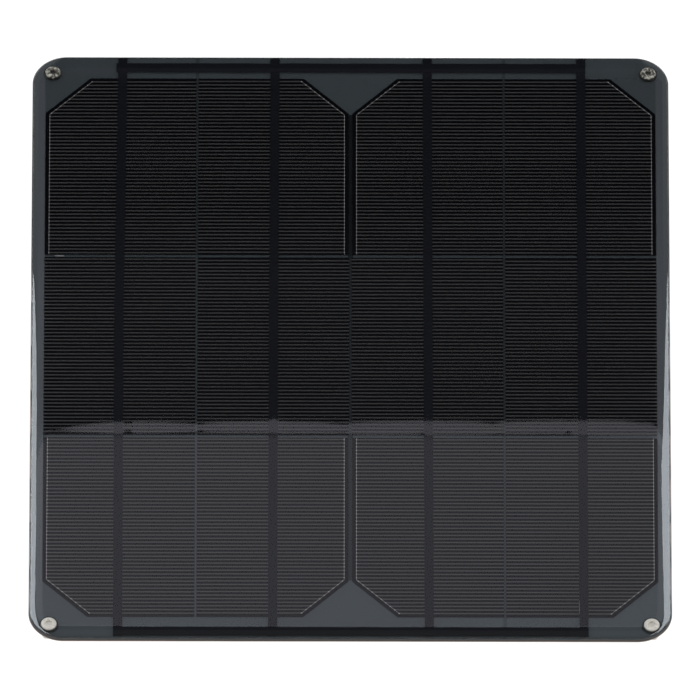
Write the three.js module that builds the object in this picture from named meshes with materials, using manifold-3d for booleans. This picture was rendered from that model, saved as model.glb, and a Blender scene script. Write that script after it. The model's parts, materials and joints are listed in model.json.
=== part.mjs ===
// Rigid resin-coated solar panel, 220 x 256 mm, twelve cut monocrystalline cells in series.
// Millimetres, +Z towards the sun. The panel lies flat: X is its width, Y its height.
// Origin: centre of the backing board's rear face, which is the plane a mounting surface touches.

import * as THREE from 'three';
import { mergeVertices } from 'three/addons/utils/BufferGeometryUtils.js';
import Module from 'manifold-3d';

// ---------------------------------------------------------------- driving dimensions
const PANEL_W = 220;            // board width, X
const PANEL_H = 256;            // board height, Y
const CORNER_R = 12;            // board corner radius
const CORNER_STEPS = 10;        // segments in each rounded corner of the board and coat
const BOARD_T = 1.5;            // board thickness, rear face at z = 0
const LAYER_GAP = 0.02;         // gap between stacked layers
const POCKET = 0.03;            // clearance of the coat around what it covers
const OVERSHOOT = 1;            // how far a cutting tool runs past what it cuts

// Copper ribbons under the cells, then the cells, then ribbons over them
const RIBBON_W = 2.0;
const RIBBON_T = 0.10;
const CELL_GAP = 0.03;                                    // between a cell and its ribbons
const CELL_T = 0.18;
const RIBBON_LOW = BOARD_T + LAYER_GAP;                   // underside of a ribbon under a cell
const CELL_Z0 = RIBBON_LOW + RIBBON_T + CELL_GAP;
const CELL_Z1 = CELL_Z0 + CELL_T;
const RIBBON_HIGH = CELL_Z1 + CELL_GAP;                   // underside of a ribbon over a cell
const LINK_Z = RIBBON_LOW + RIBBON_T + LAYER_GAP;         // underside of a cross link
const TAB_ON_LINK_Z = LINK_Z + RIBBON_T + LAYER_GAP;      // underside of a tab lying on a link

// Cells: thirds of a 156 mm wafer wide, half a wafer high; row 1 is the top row
const WAFER_CHAMFER = 15.5;     // leg of the pseudo-square wafer's corner
const CELL_H = 78.1;
const ROW_PITCH = 79.3;
const TOP_ROW_Y = 40.1;         // lower edge of row 1
const ROWS = [0, 1, 2].map((row) => {
  const y0 = TOP_ROW_Y - row * ROW_PITCH;
  return { y0, y1: y0 + CELL_H };
});
const CELLS_EDGE_X = 105.4;     // outer edge of the outer cells
const SAW_CUT_X = { outer: 53.3, inner: 52.6 };   // cut between the two columns on each side
const MIDDLE_HALF_GAP = [0.65, 0.4, 0.65];        // half the gap at x = 0, for each row
const COLUMN_X = [-79.3, -26.45, 26.45, 79.3];    // ribbon centrelines

// Y spans of the cross links
const TOP_LINK_Y = [121.4, 124.2];
const BOTTOM_LINK_Y = [-126.3, -123.5];

// Black masking strips
const STRIP_W = 3.4;
const STRIP_T = 0.06;
const STRIP_REACH = 127.1;      // the column strips run this far up and down
const STRIP_Z = RIBBON_HIGH + RIBBON_T + LAYER_GAP;       // underside of the column strips
const CROSS_STRIP_Z = STRIP_Z + STRIP_T + 0.03;           // underside of the end strips
const CROSS_STRIP_X = [-81.0, 81.1];
const TOP_STRIP_Y = [120.8, 124.8];
const BOTTOM_STRIP_Y = [-127.0, -123.2];

// Corner screws: M3 x 5 button head, 2 mm socket; washer 7 x 0.5; thin nut 5.5 x 1.8
const SCREWS = { tl: [-103, 120.2], tr: [103, 120.2], bl: [-103, -122.3], br: [103, -122.3] };
const SCREW_HOLE_R = 1.62;
const COAT_HOLE_R = 3.02;

// Rear cap, its strain relief, the lead and the plug; all on x = 0
const BOX_Y = -88;
const BOX_W = 46;
const BOX_H = 26;
const BOX_WALL = 1.3;
const RELIEF_W = 5.0;
const RELIEF_Z = [-2.85, -0.1];
const LEAD_R = 1.1;
const LEAD_Z = (RELIEF_Z[0] + RELIEF_Z[1]) / 2;
const LEAD_EXIT_Y = BOX_Y + BOX_H / 2;     // outer face of the wall the lead leaves by
const LEAD_HINGE_Y = -65;                  // the lead swings from here
const PLUG_Y = 66;                         // end of the plug housing the lead enters

// ---------------------------------------------------------------- materials
const FINISHES = {
  board: { color: 0x33373b, roughness: 0.45, metalness: 0 },
  coat: { color: 0xdfe6ea, roughness: 0.04, metalness: 0, opacity: 0.2 },
  cell: { color: 0x0b0b12, roughness: 0.35, metalness: 0.1 },
  ribbon: { color: 0xb9bcbe, roughness: 0.35, metalness: 1 },
  mask: { color: 0x141518, roughness: 0.6, metalness: 0 },
  steel: { color: 0xb9b6ae, roughness: 0.3, metalness: 1 },
  box: { color: 0x17181a, roughness: 0.55, metalness: 0 },
  diode: { color: 0x101010, roughness: 0.5, metalness: 0 },
  rubber: { color: 0x1a1a1b, roughness: 0.7, metalness: 0 },
  cable: { color: 0x151516, roughness: 0.6, metalness: 0 },
  plug: { color: 0x1b1c1e, roughness: 0.5, metalness: 0 },
  brass: { color: 0xb99a4a, roughness: 0.3, metalness: 1 },
};

function material(finish) {
  const { opacity = 1, ...rest } = FINISHES[finish];
  return new THREE.MeshStandardMaterial({ ...rest, opacity, transparent: opacity < 1 });
}

// ---------------------------------------------------------------- solids
const wasm = await Module();
wasm.setup();

// Welds a geometry by position alone and makes a manifold of it.
function solid(geometry) {
  const loose = geometry.index ? geometry.toNonIndexed() : geometry.clone();
  for (const name of Object.keys(loose.attributes)) {
    if (name !== 'position') loose.deleteAttribute(name);
  }
  const welded = mergeVertices(loose, 1e-4);
  return new wasm.Manifold(new wasm.Mesh({
    numProp: 3,
    vertProperties: new Float32Array(welded.attributes.position.array),
    triVerts: new Uint32Array(welded.index.array),
  }));
}

function geometryOf(manifold) {
  const mesh = manifold.getMesh();
  const geometry = new THREE.BufferGeometry();
  geometry.setAttribute('position', new THREE.Float32BufferAttribute(mesh.vertProperties, 3));
  geometry.setIndex(new THREE.BufferAttribute(new Uint32Array(mesh.triVerts), 1));
  return geometry;
}

function cut(geometry, ...tools) {
  return geometryOf(tools.reduce((body, tool) => body.subtract(solid(tool)), solid(geometry)));
}

function join(geometry, other) {
  return geometryOf(solid(geometry).add(solid(other)));
}

// ---------------------------------------------------------------- outlines
const point = (x, y) => new THREE.Vector2(x, y);

// Counter-clockwise from the right-hand end of the top right corner's arc.
function roundedRect(width, height, radius, steps) {
  const x = width / 2 - radius;
  const y = height / 2 - radius;
  const points = [];
  for (const [cx, cy, start] of [[x, y, 0], [-x, y, 90], [-x, -y, 180], [x, -y, 270]]) {
    for (let i = 0; i <= steps; i++) {
      const angle = THREE.MathUtils.degToRad(start + (90 * i) / steps);
      points.push(point(cx + radius * Math.cos(angle), cy + radius * Math.sin(angle)));
    }
  }
  return points;
}

function circle(x, y, radius, segments = 32) {
  return Array.from({ length: segments }, (_, i) => {
    const angle = (2 * Math.PI * i) / segments;
    return point(x + radius * Math.cos(angle), y + radius * Math.sin(angle));
  });
}

function rect(x0, x1, y0, y1) {
  return [point(x0, y0), point(x1, y0), point(x1, y1), point(x0, y1)];
}

function hexagon(acrossFlats, turn = 0) {
  const radius = acrossFlats / Math.sqrt(3);
  return Array.from({ length: 6 }, (_, i) => {
    const angle = (Math.PI / 3) * i + turn;
    return point(radius * Math.cos(angle), radius * Math.sin(angle));
  });
}

// ---------------------------------------------------------------- shapes
function extrude(shape, depth) {
  return new THREE.ExtrudeGeometry(shape, { depth, bevelEnabled: false, steps: 1 });
}

function prism(points, z0, z1, holes = []) {
  const shape = new THREE.Shape(points);
  for (const hole of holes) shape.holes.push(new THREE.Path(hole));
  return extrude(shape, z1 - z0).translate(0, 0, z0);
}

function slab(x0, x1, y0, y1, z0, z1, grow = 0) {
  return prism(rect(x0 - grow, x1 + grow, y0 - grow, y1 + grow), z0 - grow, z1 + grow);
}

// A closed skin through rings of points, one ring per height, with flat ends.
function stack(rings) {
  const count = rings[0].points.length;
  const position = rings.flatMap(({ points, z }) => points.flatMap((p) => [p.x, p.y, z]));
  const index = [];
  for (let k = 0; k + 1 < rings.length; k++) {
    const low = k * count;
    const high = low + count;
    for (let i = 0; i < count; i++) {
      const j = (i + 1) % count;
      index.push(low + i, low + j, high + j, low + i, high + j, high + i);
    }
  }
  for (const [a, b, c] of THREE.ShapeUtils.triangulateShape(rings[0].points, [])) {
    index.push(c, b, a);
  }
  const top = (rings.length - 1) * count;
  for (const [a, b, c] of THREE.ShapeUtils.triangulateShape(rings.at(-1).points, [])) {
    index.push(top + a, top + b, top + c);
  }
  const geometry = new THREE.BufferGeometry();
  geometry.setAttribute('position', new THREE.Float32BufferAttribute(position, 3));
  geometry.setIndex(index);
  return geometry;
}

// A flat ribbon centred on x: a path of [y, z of its underside].
function ribbon(path, x, grow = 0) {
  const stations = path.map(([y, z]) => [y, z]).sort((a, b) => a[0] - b[0]);
  stations[0][0] -= grow;
  stations.at(-1)[0] += grow;
  const lower = stations.map(([y, z]) => point(y, z - grow));
  const upper = stations.map(([y, z]) => point(y, z + RIBBON_T + grow)).reverse();
  const geometry = extrude(new THREE.Shape([...lower, ...upper]), RIBBON_W + 2 * grow);
  geometry.translate(0, 0, -RIBBON_W / 2 - grow);
  // The profile is drawn in (y, z) and extruded along x.
  geometry.applyMatrix4(new THREE.Matrix4().makeBasis(
    new THREE.Vector3(0, 1, 0), new THREE.Vector3(0, 0, 1), new THREE.Vector3(1, 0, 0)));
  return geometry.translate(x, 0, 0);
}

// A profile of [radius, z] turned about Z.
function lathe(profile, segments) {
  const geometry = new THREE.LatheGeometry(profile.map(([r, z]) => point(r, z)), segments);
  return geometry.rotateX(Math.PI / 2);
}

// A round rod lying along Y.
function rod({ radius, x = 0, y0, y1, z = LEAD_Z, segments = 24 }) {
  const geometry = new THREE.CylinderGeometry(radius, radius, y1 - y0, segments, 1);
  return geometry.translate(x, (y0 + y1) / 2, z);
}

// ---------------------------------------------------------------- assembly helpers
const panel = new THREE.Group();
const pockets = [];             // what the clear coat is hollowed out around

function add(name, geometry, finish, parent = panel) {
  const mesh = new THREE.Mesh(geometry, material(finish));
  mesh.name = name;
  parent.add(mesh);
  return mesh;
}

function addGroup(x, y) {
  const group = new THREE.Group();
  group.position.set(x, y, 0);
  panel.add(group);
  return group;
}

function addRibbon(name, path, x) {
  add(name, ribbon(path, x), 'ribbon');
  pockets.push(ribbon(path, x, POCKET));
}

function addCoveredSlab(name, finish, [x0, x1], [y0, y1], z, thickness) {
  const bounds = [x0, x1, y0, y1, z, z + thickness];
  add(name, slab(...bounds), finish);
  pockets.push(slab(...bounds, POCKET));
}

// ---------------------------------------------------------------- backing board
// Its faces are laid out in five fields, so that the fields beside the rear cap are plain
// clear rectangles a mounting surface can lie against.
const FIELD_X = 30;
const FIELD_Y = 100;

function boardGeometry() {
  const edge = PANEL_W / 2;
  const outline = roundedRect(PANEL_W, PANEL_H, CORNER_R, CORNER_STEPS);
  const halfCount = 2 * (CORNER_STEPS + 1);
  const upper = [point(edge, FIELD_Y), ...outline.slice(0, halfCount), point(-edge, FIELD_Y)];
  const lower = [point(-edge, -FIELD_Y), ...outline.slice(halfCount), point(edge, -FIELD_Y)];
  const [tl, tr, bl, br] = Object.values(SCREWS).map(([x, y]) => circle(x, y, SCREW_HOLE_R));
  const fields = [
    {
      contour: [...upper, point(-FIELD_X, FIELD_Y), point(FIELD_X, FIELD_Y)],
      holes: [tl, tr],
    },
    {
      contour: [...lower, point(FIELD_X, -FIELD_Y), point(-FIELD_X, -FIELD_Y)],
      holes: [bl, br],
    },
    ...[[-edge, -FIELD_X], [-FIELD_X, FIELD_X], [FIELD_X, edge]].map(([x0, x1]) => (
      { contour: rect(x0, x1, -FIELD_Y, FIELD_Y), holes: [] })),
  ];

  const position = [];
  const vertex = (p, z) => position.push(p.x, p.y, z);
  for (const { contour, holes } of fields) {
    const points = [...contour, ...holes.flat()];
    const triangles = THREE.ShapeUtils.triangulateShape(
      contour.slice(), holes.map((hole) => hole.slice()));
    for (const triangle of triangles) {
      const [a, b, c] = triangle.map((i) => points[i]);
      const turn = (b.x - a.x) * (c.y - a.y) - (c.x - a.x) * (b.y - a.y);
      const facingUp = turn > 0 ? [a, b, c] : [a, c, b];
      for (const p of facingUp) vertex(p, BOARD_T);
      for (const p of facingUp.reverse()) vertex(p, 0);
    }
  }
  const wall = (loop) => loop.forEach((p, i) => {
    const q = loop[(i + 1) % loop.length];
    vertex(p, 0);
    vertex(q, 0);
    vertex(q, BOARD_T);
    vertex(p, 0);
    vertex(q, BOARD_T);
    vertex(p, BOARD_T);
  });
  wall([...upper.slice(1), ...lower, upper[0]]);
  for (const hole of [tl, tr, bl, br]) wall(hole.slice().reverse());

  const geometry = new THREE.BufferGeometry();
  geometry.setAttribute('position', new THREE.Float32BufferAttribute(position, 3));
  return mergeVertices(geometry, 1e-4);
}

// ---------------------------------------------------------------- cells
// Outline of a cell, grown evenly on all sides, with at most one corner chamfered.
function cellPoints([x0, x1], { y0, y1 }, chamfered, grow) {
  const leg = WAFER_CHAMFER - grow * (Math.SQRT2 - 1);
  const left = x0 - grow;
  const right = x1 + grow;
  const bottom = y0 - grow;
  const top = y1 + grow;
  const corners = [
    { name: 'bl', sharp: [left, bottom], chamfer: [[left, y0 + leg], [x0 + leg, bottom]] },
    { name: 'br', sharp: [right, bottom], chamfer: [[x1 - leg, bottom], [right, y0 + leg]] },
    { name: 'tr', sharp: [right, top], chamfer: [[right, y1 - leg], [x1 - leg, top]] },
    { name: 'tl', sharp: [left, top], chamfer: [[x0 + leg, top], [left, y1 - leg]] },
  ];
  return corners
    .flatMap(({ name, sharp, chamfer }) => (name === chamfered ? chamfer : [sharp]))
    .map(([x, y]) => point(x, y));
}

// A wafer is cut once across and twice along; rows 1 and 3 keep the wafer's corners.
function addCells() {
  const cornerRow = ['t', null, 'b'];
  ROWS.forEach((row, r) => {
    const half = MIDDLE_HALF_GAP[r];
    const spans = [
      [-CELLS_EDGE_X, -SAW_CUT_X.outer],
      [-SAW_CUT_X.inner, -half],
      [half, SAW_CUT_X.inner],
      [SAW_CUT_X.outer, CELLS_EDGE_X],
    ];
    spans.forEach((span, c) => {
      const chamfered = cornerRow[r] && cornerRow[r] + (c % 2 === 0 ? 'l' : 'r');
      const cell = (grow, z0, z1) => prism(cellPoints(span, row, chamfered, grow), z0, z1);
      add(`cell_r${r + 1}c${c + 1}`, cell(0, CELL_Z0, CELL_Z1), 'cell');
      pockets.push(cell(POCKET, BOARD_T - 0.2, CELL_Z1 + POCKET));
    });
  });
}

// ---------------------------------------------------------------- ribbons
// In odd columns the current runs down the column, in even columns up it,
// so the ribbon leaves the front of one cell and passes through the gap to the rear of the next.
const END_INSET = 1.6;          // ribbons stop this far inside a cell's far edge
const STEP_OUT = 0.2;           // and start to drop this far outside its near edge
const TAB_OUT = 0.3;            // tabs start to drop this far outside the cell
const TAB_LANDING = 1.6;        // and reach a link's level this far outside it
const TAB_LANDING_LOW = 1.8;    // or the board's level this far outside it

// From the front of one cell to the rear of the next, dropping between two y values.
function throughPath(from, to, highY, lowY) {
  const farEnd = ({ y0, y1 }, nearY) => (nearY > (y0 + y1) / 2 ? y0 + END_INSET : y1 - END_INSET);
  return [
    [farEnd(from, highY), RIBBON_HIGH],
    [highY, RIBBON_HIGH],
    [lowY, RIBBON_LOW],
    [farEnd(to, lowY), RIBBON_LOW],
  ];
}

function interconnectPath(upper, lower, runsDown) {
  const upperY = upper.y0 - STEP_OUT;
  const lowerY = lower.y1 + STEP_OUT;
  return runsDown
    ? throughPath(upper, lower, upperY, lowerY)
    : throughPath(lower, upper, lowerY, upperY);
}

// A tab under a cell, straight out to endY.
const rearTab = (startY, endY) => [[startY, RIBBON_LOW], [endY, RIBBON_LOW]];

// A tab over a cell, dropping past the cell's edge; outward is +1 up the panel, -1 down it.
function frontTab(startY, edgeY, outward, endY, landing = TAB_LANDING, z = TAB_ON_LINK_Z) {
  return [
    [startY, RIBBON_HIGH],
    [edgeY + outward * TAB_OUT, RIBBON_HIGH],
    [edgeY + outward * landing, z],
    [endY, z],
  ];
}

function addRibbons() {
  const top = ROWS[0];
  const bottom = ROWS[2];
  const topStart = top.y0 + END_INSET;
  const bottomStart = bottom.y1 - END_INSET;
  const topEnd = TOP_LINK_Y[1];
  const bottomEnd = BOTTOM_LINK_Y[0];
  const bottomTabs = [
    // No link meets column 1's bottom tab, so it drops to the board.
    frontTab(bottomStart, bottom.y0, -1, bottomEnd, TAB_LANDING_LOW, RIBBON_LOW),
    rearTab(bottomStart, bottomEnd),
    frontTab(bottomStart, bottom.y0, -1, bottomEnd),
    rearTab(bottomStart, bottomEnd),
  ];
  COLUMN_X.forEach((x, c) => {
    const column = c + 1;
    const runsDown = column % 2 === 1;
    for (let r = 0; r < 2; r++) {
      const path = interconnectPath(ROWS[r], ROWS[r + 1], runsDown);
      addRibbon(`interconnect_c${column}_r${r + 1}${r + 2}`, path, x);
    }
    const topTab = runsDown ? rearTab(topStart, topEnd) : frontTab(topStart, top.y1, 1, topEnd);
    addRibbon(`top_tab_c${column}`, topTab, x);
    addRibbon(`bottom_tab_c${column}`, bottomTabs[c], x);
  });
}

function addLinks() {
  const link = (name, from, to, spanY) => {
    const spanX = [COLUMN_X[from - 1] - RIBBON_W / 2, COLUMN_X[to - 1] + RIBBON_W / 2];
    addCoveredSlab(`${name}_c${from}${to}`, 'ribbon', spanX, spanY, LINK_Z, RIBBON_T);
  };
  link('top_link', 1, 2, TOP_LINK_Y);
  link('top_link', 3, 4, TOP_LINK_Y);
  link('bottom_link', 2, 3, BOTTOM_LINK_Y);
}

// ---------------------------------------------------------------- masking strips
// Four down the columns, one across each end.
function addMaskStrips() {
  const strip = (name, spanX, spanY, z) => (
    addCoveredSlab(`mask_strip_${name}`, 'mask', spanX, spanY, z, STRIP_T));
  COLUMN_X.forEach((x, i) => {
    const spanX = [x - STRIP_W / 2, x + STRIP_W / 2];
    strip(`c${i + 1}`, spanX, [-STRIP_REACH, STRIP_REACH], STRIP_Z);
  });
  strip('top', CROSS_STRIP_X, TOP_STRIP_Y, CROSS_STRIP_Z);
  strip('bottom', CROSS_STRIP_X, BOTTOM_STRIP_Y, CROSS_STRIP_Z);
}

// ---------------------------------------------------------------- clear coat
// Flat, with a meniscus rim that rounds down to the board's edge.
const COAT_TOP = 2.8;
const COAT_INSET = 0.35;        // coat outline inside the board's cut edge
const COAT_HOLE_Z = [0, 5];     // the screw holes' cutting tools
const RIM = [                   // [inset from the coat outline, z]
  [0, BOARD_T + LAYER_GAP], [0.02, 1.85], [0.2, 2.18], [0.6, 2.42],
  [1.2, 2.6], [2.0, 2.72], [3.0, 2.78], [4.2, COAT_TOP],
];

function coatGeometry() {
  const blank = stack(RIM.map(([rimInset, z]) => {
    const inset = COAT_INSET + rimInset;
    const width = PANEL_W - 2 * inset;
    const height = PANEL_H - 2 * inset;
    return { points: roundedRect(width, height, CORNER_R - inset, CORNER_STEPS), z };
  }));
  const holes = Object.values(SCREWS).map(([x, y]) => (
    prism(circle(x, y, COAT_HOLE_R), ...COAT_HOLE_Z)));
  return cut(blank, ...pockets, ...holes);
}

// ---------------------------------------------------------------- corner fasteners
const WASHER_T = 0.5;

function screwGeometry() {
  const shankR = 1.5;
  const shankTip = 0.3;         // chamfer at the shank's end
  const headR = 2.85;
  const headH = 1.65;
  const headSide = 0.45;        // upright part of the head's side
  const domeInset = 0.95;       // how far the dome draws in
  const domeRise = 0.86;        // share of the remaining height the dome climbs
  const domeSteps = 4;
  const socket = { acrossFlats: 2.0, depth: 0.95, turn: 0.3 };
  const headZ = BOARD_T + LAYER_GAP;
  const topZ = headZ + headH;
  const endZ = headZ - 5;       // shank length 5

  const dome = Array.from({ length: domeSteps + 1 }, (_, i) => {
    const angle = (i / domeSteps) * (Math.PI / 2);
    return [
      headR - domeInset * (1 - Math.cos(angle)),
      headZ + headSide + (headH - headSide) * Math.sin(angle) * domeRise,
    ];
  });
  const profile = [
    [0, endZ], [shankR - shankTip, endZ], [shankR, endZ + shankTip], [shankR, headZ],
    [headR, headZ], ...dome, [1.45, topZ - 0.06], [0.9, topZ], [0, topZ],
  ];
  return cut(lathe(profile, 28), prism(
    hexagon(socket.acrossFlats, socket.turn), topZ - socket.depth, topZ + OVERSHOOT));
}

function washerGeometry() {
  const outerR = 3.5;
  const boreR = 1.62;
  return prism(
    circle(0, 0, outerR, 28), -LAYER_GAP - WASHER_T, -LAYER_GAP, [circle(0, 0, boreR, 28)]);
}

// A hexagonal nut, its corners trimmed by a chamfered disc.
function nutGeometry() {
  const acrossFlats = 5.5;
  const thickness = 1.8;
  const boreR = 1.56;
  const chamferH = 0.3;
  const z1 = -2 * LAYER_GAP - WASHER_T;
  const z0 = z1 - thickness;
  const cornerR = acrossFlats / Math.sqrt(3);
  const faceR = cornerR - 0.42;
  const discR = cornerR + 0.05;
  const disc = lathe([
    [0, z0], [faceR, z0], [discR, z0 + chamferH],
    [discR, z1 - chamferH], [faceR, z1], [0, z1],
  ], 24);
  const hex = prism(hexagon(acrossFlats), z0 - OVERSHOOT, z1 + OVERSHOOT);
  const bore = prism(circle(0, 0, boreR, 24), z0 - 2 * OVERSHOOT, z1 + 2 * OVERSHOOT);
  return geometryOf(solid(hex).intersect(solid(disc)).subtract(solid(bore)));
}

function addFasteners() {
  const screw = screwGeometry();
  const washer = washerGeometry();
  const nut = nutGeometry();
  for (const [key, [x, y]] of Object.entries(SCREWS)) {
    const station = addGroup(x, y);
    add(`corner_screw_${key}`, screw.clone(), 'steel', station);
    add(`washer_${key}`, washer.clone(), 'steel', station);
    add(`nut_${key}`, nut.clone(), 'steel', station);
  }
}

// ---------------------------------------------------------------- rear cap
// A shallow cup, mouth against the board, with a slot in its +Y wall for the strain relief.
function boxGeometry() {
  const mouthZ = -0.05;
  const outerZ = -3.4;
  const floor = 0.5;
  const radius = 4;
  const slotGap = 0.05;         // clearance around the strain relief
  const outline = (shrink) => (
    roundedRect(BOX_W - shrink, BOX_H - shrink, radius - shrink / 2, 6));
  const sections = [            // [reduction of width and height, z]
    [1.2, outerZ], [0.3, outerZ + 0.35], [0, outerZ + 0.9], [0, mouthZ],
  ];
  const core = stack(sections.map(([shrink, z]) => ({ points: outline(shrink), z })));
  const hollow = prism(outline(2 * BOX_WALL), outerZ + floor, mouthZ + OVERSHOOT);
  const slotX = RELIEF_W / 2 + slotGap;
  const slot = slab(-slotX, slotX, BOX_H / 2 - BOX_WALL - OVERSHOOT, BOX_H / 2 + OVERSHOOT,
    RELIEF_Z[0] - slotGap, OVERSHOOT);
  return cut(core, hollow, slot);
}

function diodeGeometry() {
  const sections = [[4.0, 2.3, -2.3], [4.3, 2.6, -1.2], [4.0, 2.3, -0.1]];  // [width, height, z]
  return stack(sections.map(([width, height, z]) => (
    { points: roundedRect(width, height, 0.2, 2), z })));
}

function addRearCap() {
  const box = addGroup(0, BOX_Y);
  add('junction_box', boxGeometry(), 'box', box);
  add('blocking_diode', diodeGeometry(), 'diode', box).position.set(11, -2, 0);
}

// A sleeve through the wall slot, grooved on both sides, with a bore for the lead.
function reliefGeometry() {
  const inner = LEAD_EXIT_Y - BOX_WALL - 1.2;
  const outer = LEAD_EXIT_Y + 5.5;
  const grooveOffsets = [1.3, 2.7, 4.1];   // from the wall's outer face
  const grooveW = 0.7;
  const grooveDepth = 0.45;
  const boreHalfLength = 20;
  const side = RELIEF_W / 2;
  const bore = rod({
    radius: LEAD_R + 0.06,
    y0: LEAD_EXIT_Y - boreHalfLength,
    y1: LEAD_EXIT_Y + boreHalfLength,
  });
  const grooves = grooveOffsets.flatMap((offset) => {
    const y = LEAD_EXIT_Y + offset;
    const rest = [y, y + grooveW, RELIEF_Z[0] - OVERSHOOT, OVERSHOOT];
    return [
      slab(-side - OVERSHOOT, -side + grooveDepth, ...rest),
      slab(side - grooveDepth, side + OVERSHOOT, ...rest),
    ];
  });
  return cut(slab(-side, side, inner, outer, ...RELIEF_Z), bore, ...grooves);
}

// ---------------------------------------------------------------- lead
// A fixed root in the cap, then the part that swings from the strain relief.
const LEAD_PATH = [             // [x, y]
  [0, LEAD_HINGE_Y], [0, -55], [0, -44], [2.2, -26], [5.2, -6],
  [4.2, 14], [0.6, 32], [0, 46], [0, 58], [0, PLUG_Y + 3],
];

function rootGeometry() {
  return rod({ radius: LEAD_R, y0: BOX_Y - 6, y1: LEAD_HINGE_Y - LEAD_R - 0.4 });
}

function leadGeometry() {
  const points = LEAD_PATH.map(([x, y]) => new THREE.Vector3(x, y, LEAD_Z));
  const tube = new THREE.ExtrudeGeometry(new THREE.Shape(circle(0, 0, LEAD_R, 12)), {
    extrudePath: new THREE.CatmullRomCurve3(points, false, 'centripetal'),
    steps: 30,
    bevelEnabled: false,
  });
  const roundEnd = new THREE.SphereGeometry(LEAD_R, 12, 8);
  roundEnd.rotateX(Math.PI / 2);
  roundEnd.translate(0, LEAD_HINGE_Y, LEAD_Z);
  return join(tube, roundEnd);
}

// ---------------------------------------------------------------- plug
// A flat two-pole housing with a recessed mouth and two pins.
const PLUG_W = 8;
const PLUG_T = 2.8;
const PLUG_END_Y = PLUG_Y + 13;
const PLUG_MID_Z = LEAD_Z - 0.1;
const PIN_X = 1.5;
const PIN_Y = [PLUG_END_Y - 7.5, PLUG_END_Y - 1.2];

const pin = (x, radius, y0, y1) => rod({ radius, x, y0, y1, z: PLUG_MID_Z, segments: 16 });

function plugGeometry() {
  const side = PLUG_W / 2;
  const bevel = 0.4;
  const z0 = PLUG_MID_Z - PLUG_T / 2;
  const z1 = PLUG_MID_Z + PLUG_T / 2;
  const sections = [[bevel, z0], [0, z0 + bevel], [0, z1 - bevel], [bevel, z1]];  // [inset, z]
  const blank = stack(sections.map(([inset, z]) => (
    { points: rect(-side + inset, side - inset, PLUG_Y, PLUG_END_Y), z })));
  const latch = slab(-1.2, 1.2, PLUG_Y + 3, PLUG_Y + 8, z0 - 0.35, z0 + 0.3);
  const leadBore = rod({ radius: LEAD_R + 0.08, y0: PLUG_Y - 4, y1: PLUG_Y + 4 });

  const mouthX = side - 0.8;
  const mouthHalfH = 0.85;
  const mouth = slab(-mouthX, mouthX, PLUG_END_Y - 5.5, PLUG_END_Y + OVERSHOOT,
    PLUG_MID_Z - mouthHalfH, PLUG_MID_Z + mouthHalfH);
  const pinBores = [-PIN_X, PIN_X].map((x) => pin(x, 0.45, PIN_Y[0] - 0.1, PIN_Y[1]));
  return cut(join(blank, latch), leadBore, mouth, ...pinBores);
}

function addPlug() {
  const pinR = 0.38;
  add('plug_housing', plugGeometry(), 'plug');
  add('plug_contact_positive', pin(PIN_X, pinR, ...PIN_Y), 'brass');
  add('plug_contact_negative', pin(-PIN_X, pinR, ...PIN_Y), 'brass');
}

// ---------------------------------------------------------------- assembly
add('backing_board', boardGeometry(), 'board');
addCells();
addRibbons();
addLinks();
addMaskStrips();
add('front_coating', coatGeometry(), 'coat');    // after everything that leaves a pocket in it
addFasteners();
addRearCap();
add('strain_relief', reliefGeometry(), 'rubber');
add('cable_root', rootGeometry(), 'cable');
add('cable_lead', leadGeometry(), 'cable');
addPlug();

export default panel;
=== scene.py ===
"""A small solar panel: twelve silicon cells on a dark board, under clear poured resin.

The panel lies flat in XY with its cells facing +Z and its first row of cells towards +Y.
Under it (-Z) are a cap, a ribbed boot, and a cable that runs towards +Y to a two-pole plug.
Shapes are worked out in millimetres; make() and fade_mm() turn them into metres.
"""

import json
import math
import random

import bmesh
import bpy
from mathutils import Matrix, Vector, noise
from mathutils.geometry import delaunay_2d_cdt


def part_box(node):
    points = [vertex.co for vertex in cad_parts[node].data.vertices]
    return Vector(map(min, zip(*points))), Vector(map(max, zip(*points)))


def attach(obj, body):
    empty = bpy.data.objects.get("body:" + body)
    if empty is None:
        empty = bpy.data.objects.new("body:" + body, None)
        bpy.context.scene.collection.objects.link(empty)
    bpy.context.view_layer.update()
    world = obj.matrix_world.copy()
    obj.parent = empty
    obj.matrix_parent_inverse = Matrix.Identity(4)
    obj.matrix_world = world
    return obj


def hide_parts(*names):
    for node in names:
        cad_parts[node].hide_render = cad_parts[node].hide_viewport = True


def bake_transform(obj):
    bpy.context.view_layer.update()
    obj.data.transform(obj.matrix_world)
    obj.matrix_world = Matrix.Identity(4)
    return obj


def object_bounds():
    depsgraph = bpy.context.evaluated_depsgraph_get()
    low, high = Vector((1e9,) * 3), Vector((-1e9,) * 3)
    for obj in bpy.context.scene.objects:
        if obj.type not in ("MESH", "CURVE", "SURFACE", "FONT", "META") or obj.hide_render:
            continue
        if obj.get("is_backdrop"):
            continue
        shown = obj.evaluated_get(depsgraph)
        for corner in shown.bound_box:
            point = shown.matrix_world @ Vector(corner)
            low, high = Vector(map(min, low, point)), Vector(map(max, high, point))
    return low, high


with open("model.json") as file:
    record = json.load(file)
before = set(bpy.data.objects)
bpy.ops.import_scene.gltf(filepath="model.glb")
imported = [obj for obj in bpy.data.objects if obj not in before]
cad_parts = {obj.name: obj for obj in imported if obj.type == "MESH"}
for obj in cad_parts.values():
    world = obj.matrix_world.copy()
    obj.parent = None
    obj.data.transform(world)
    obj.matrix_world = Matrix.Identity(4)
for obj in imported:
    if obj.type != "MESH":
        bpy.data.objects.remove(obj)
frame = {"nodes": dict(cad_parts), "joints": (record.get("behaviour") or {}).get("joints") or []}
CAD_LOW, CAD_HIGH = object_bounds()
MM = 0.001
random.seed(7)


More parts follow.
